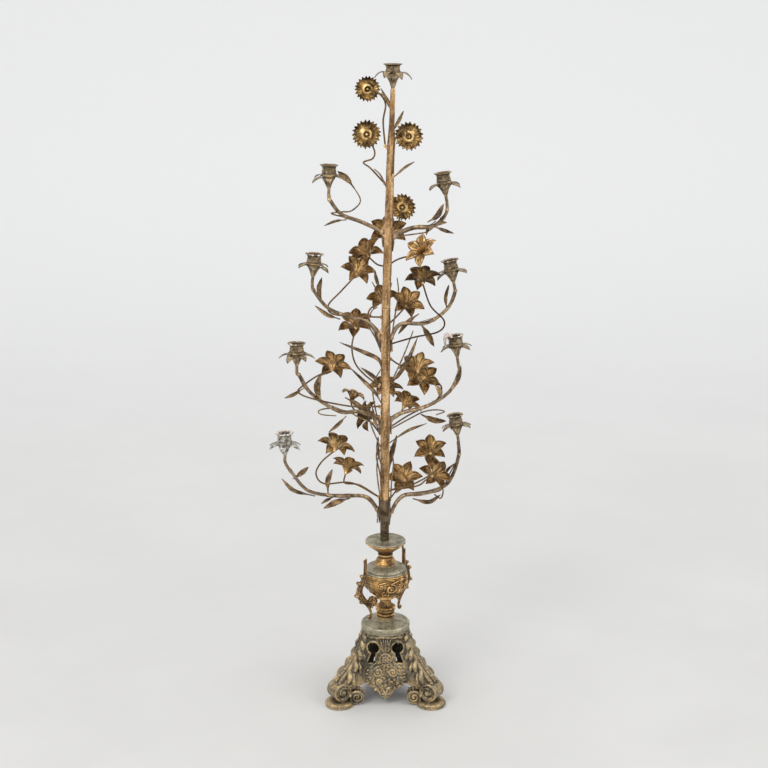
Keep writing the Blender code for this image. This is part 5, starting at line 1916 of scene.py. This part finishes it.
strand = blob((0, 0, 0), (0.7, 1.5, 0.8), Matrix.Rotation(0.6, 4, "X"), 8)
rope = moved(ring_of(strand, 60, radius=34.8), Matrix.Translation((0, 0, 292.6)))
turned_piece("dish_shell", fine(dish_line, 1.2), URN_GILT, "dish", "gilt", "dish_bowl", sides=224,
             wave=gadroons, extra=[rope])
plate_line = [(ROD_HOLE, 297), (9, 297), (20, 296.5), (30, 296.4), (33.8, 297.2), (35.2, 297.4),
              (35.9, 296.4), (35.4, 294.8), (34.6, 294.6), (ROD_HOLE, 294.6), (ROD_HOLE, 297)]
lugs = [blob(polar(35.4, angle, 294.6), (1.8, 2.6, 1.2), sides=12) for angle in (196, -16)]
turned_piece("dish_disc", fine(plate_line), SPELTER, "dish", "spelter", "dish_plate",
             wave=tool_marks(0.006), extra=lugs)

# %% [markdown]
# ## The urn's body
# The bowl is a turned wall with the richest relief on the stack: a rosette on two opposite sides,
# between the handles, with scrolls that answer each other beside it, over a ring of small leaves
# at the foot. It is drawn and melted like the tripod, at a finer voxel.


# %% The bowl
BOWL = [(21, 193.3), (21, 196), (26.5, 200), (31.5, 205), (35, 211), (37, 218), (38, 225), (38.2, 232),
        (37.6, 238)]
ROSETTE_ANGLES = (316, 136)
BOWL_REACH = 34


def bowl_place(degrees):
    """Turns a spot on the bowl into a point: x along the wall, z up, lift outwards."""
    heights = [z for _, z in BOWL]
    radii = [r for r, _ in BOWL]

    def place(x, z, lift=0.0):
        reach = np.interp(z, heights, radii)
        return polar(reach + lift, degrees + math.degrees(x / BOWL_REACH), z)
    return place


def bowl_shapes():
    inner = [(35, 238), (34, 219), (29, 208), (19, 199), (ROD_HOLE, 196.5), (ROD_HOLE, 193.3), (21, 193.3)]
    shapes = [turned(BOWL + inner, 120)]
    add = shapes.append
    for degrees in ROSETTE_ANGLES:
        place = bowl_place(degrees)
        add(rosette_on(place, 0, 222, 6.4, 7, lift=0.9))
        for lean in (-58, -90, -122):
            add(lobe_on(place, 0, 215, lean, 12, 1.8, 0.5))
        for lean in (58, 90, 122):
            add(lobe_on(place, 0, 228, lean, 8, 1.5, 0.5))
        for side in (-1, 1):
            add(scroll_on(place, side * 18, 217, 9.4, 2.0, side, 90, 1.6, 0.9,
                                    tail=[(side * 3, 232), (side * 9, 230)]))
            add(scroll_on(place, side * 34, 222, 5.4, 1.6, -side, 90, 1.3, 0.7, tail=[(side * 26, 230)]))
            for x, z, lean, reach in ((28, 212, -30, 9), (10, 206, -50, 8), (12, 233, 10, 9),
                                      (24, 205, -10, 8)):
                add(lobe_on(place, side * x, z, 90 - side * (90 - lean), reach, 1.8, 0.5))
    for a in range(0, 360, 20):
        place = bowl_place(a)
        add(lobe_on(place, 0, 197, 90, 9, 1.9, -0.4))
    edge = bowl_place(0)
    for height, thick in ((236.6, 1.1), (233.8, 0.7), (195.2, 0.9)):
        circle = [edge(BOWL_REACH * a, height, 0.2) for a in np.linspace(0, 2 * pi, 60)]
        add(tube(circle, (thick, thick), sides=8, count=110))
    return shapes


bowl = fused("urn_vase", bowl_shapes(), voxel=0.55, keep=0.6, smooth=1)
hand_over(bowl, URN_GILT, "urn", "gilt", "urn_bowl")

# %% [markdown]
# ## The two handles
# Each handle is a flat casting that stands in a plane through the rod's line. An upright pair of
# bars ends in a long S, with a rosette against the urn's foot, leaf buds outside and a curled
# tail below. It is drawn in that plane as (radius, height) points and melted like the foot. The
# left one bulges further out than the right one.


# %% The handles
HANDLE_WAIST = 212
WHEEL_REACH = 29
WHEEL_HEIGHT = 187
HANDLE_BAR = [(47, 242), (50, 230), (53, 218), (53, 207), (49.5, 196), (43, 188), (35, 183.5)]
HANDLE_TAIL = [(47, 190), (40, 180), (35, 171), (33, 162), (34, 156.5), (38, 155.5), (39, 159), (37, 160.5)]
# Each bud: where its stalk bends, where it ends, and its size.
HANDLE_BUDS = ((51, 237, 54, 241, 3.2), (56, 225, 59, 229, 3.8), (57, 210, 60, 206, 4.0),
               (52, 196, 54, 191, 3.2))


def handle_shapes(degrees, bulge):
    """One handle; bulge pushes the middle of its S outwards."""
    side = polar(1, degrees + 90)

    def spot(r, z, t=0.0):
        return polar(r + bulge * math.exp(-((z - HANDLE_WAIST) / 16) ** 2), degrees, z) + side * t

    shapes = []
    add = shapes.append
    for t in (-2.3, 2.3):
        top = 271.5 if t > 0 else 268
        upright = [spot(46, top, t), spot(46, 252, t), spot(46.4, 238, t), spot(48, 222, t * 0.9)]
        add(tube(upright, (1.7, 1.8, 2.1, 2.6), sides=10, count=30))
        add(blob(spot(46, top, t), (2.1, 2.1, 1.6), sides=10))
    add(strap([spot(r, z) for r, z in HANDLE_BAR], (2.8, 3.4, 3.8, 3.8, 3.4, 3.0),
                        (3.4, 6.0, 7.0, 6.6, 5.2, 3.6), side))
    for t in (-3.0, 3.0):
        for shift in (-2.6, 0.6, 3.4):
            rib = [spot(r + shift * (0.4 + 0.6 * sin(0.45 * n)), z, t)
                   for n, (r, z) in enumerate(HANDLE_BAR[:-1])]
            add(tube(rib, (0.7, 1.2, 1.2, 0.8), sides=8, count=30))
    for r, z, end_r, end_z, size in HANDLE_BUDS:
        stalk = [spot(r - 5, z - 4), spot(r, z), spot(end_r, end_z)]
        add(tube(stalk, (3.0, 3.2, 3.0), sides=12, count=14))
        for t in (-1.6, 1.6):
            add(blob(spot(end_r, end_z, t), (size, size, size * 0.8), sides=12))

    for sign in (-1, 1):
        def wheel(x, z, lift=0.0, sign=sign):
            return spot(WHEEL_REACH + x, WHEEL_HEIGHT + z, sign * (2.2 + lift))
        add(rosette_on(wheel, 0, 0, 8.6, 7, lift=0.2))
        add(ring_on(wheel, 0, 0, 8.6, 1.0, 0.2))
    hub = [spot(WHEEL_REACH, WHEEL_HEIGHT, t) for t in (-2.6, 0, 2.6)]
    add(tube(hub, (8.2, 8.6, 8.2), sides=22))
    tail = [spot(r, z) for r, z in HANDLE_TAIL]
    add(tube(tail, (3.0, 2.6, 2.2, 1.8, 1.4), sides=10, count=50))
    add(tube([spot(42, 185), spot(36, 178), spot(29, 174.5)], (2.2, 2.0, 1.0), sides=8))
    return shapes


# Each handle: the angle of its plane, and its bulge in millimetres.
HANDLE_PLACES = {"handle_left": (219, 6.5), "handle_right": (44, 2.0)}
for node, (degrees, bulge) in HANDLE_PLACES.items():
    made = fused(f"{node}_scroll", handle_shapes(degrees, bulge), voxel=0.5, keep=0.6, smooth=1)
    hand_over(made, HANDLE_GILT, "urn", "gilt", node)

# %% [markdown]
# ## Rod, nut and washer
# The clamp is plain steel and hardly seen, so the CAD solids stay. They only get a worn finish.


# %% The clamp
for node in ("tie_rod", "base_nut", "base_washer"):
    solid = bpy.data.objects[node]
    solid.data.materials.clear()
    solid.data.materials.append(STEEL)
print("clamp finished")

# %% [markdown]
# Both boxes, the CAD model's and the visual model's, are printed side by side.


# %% Print the boxes and finish
visual_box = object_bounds()
sizes = {"cad": [list(corner) for corner in cad_box], "visual": [list(corner) for corner in visual_box]}
print("CAD box", sizes["cad"])
print("visual box", sizes["visual"])
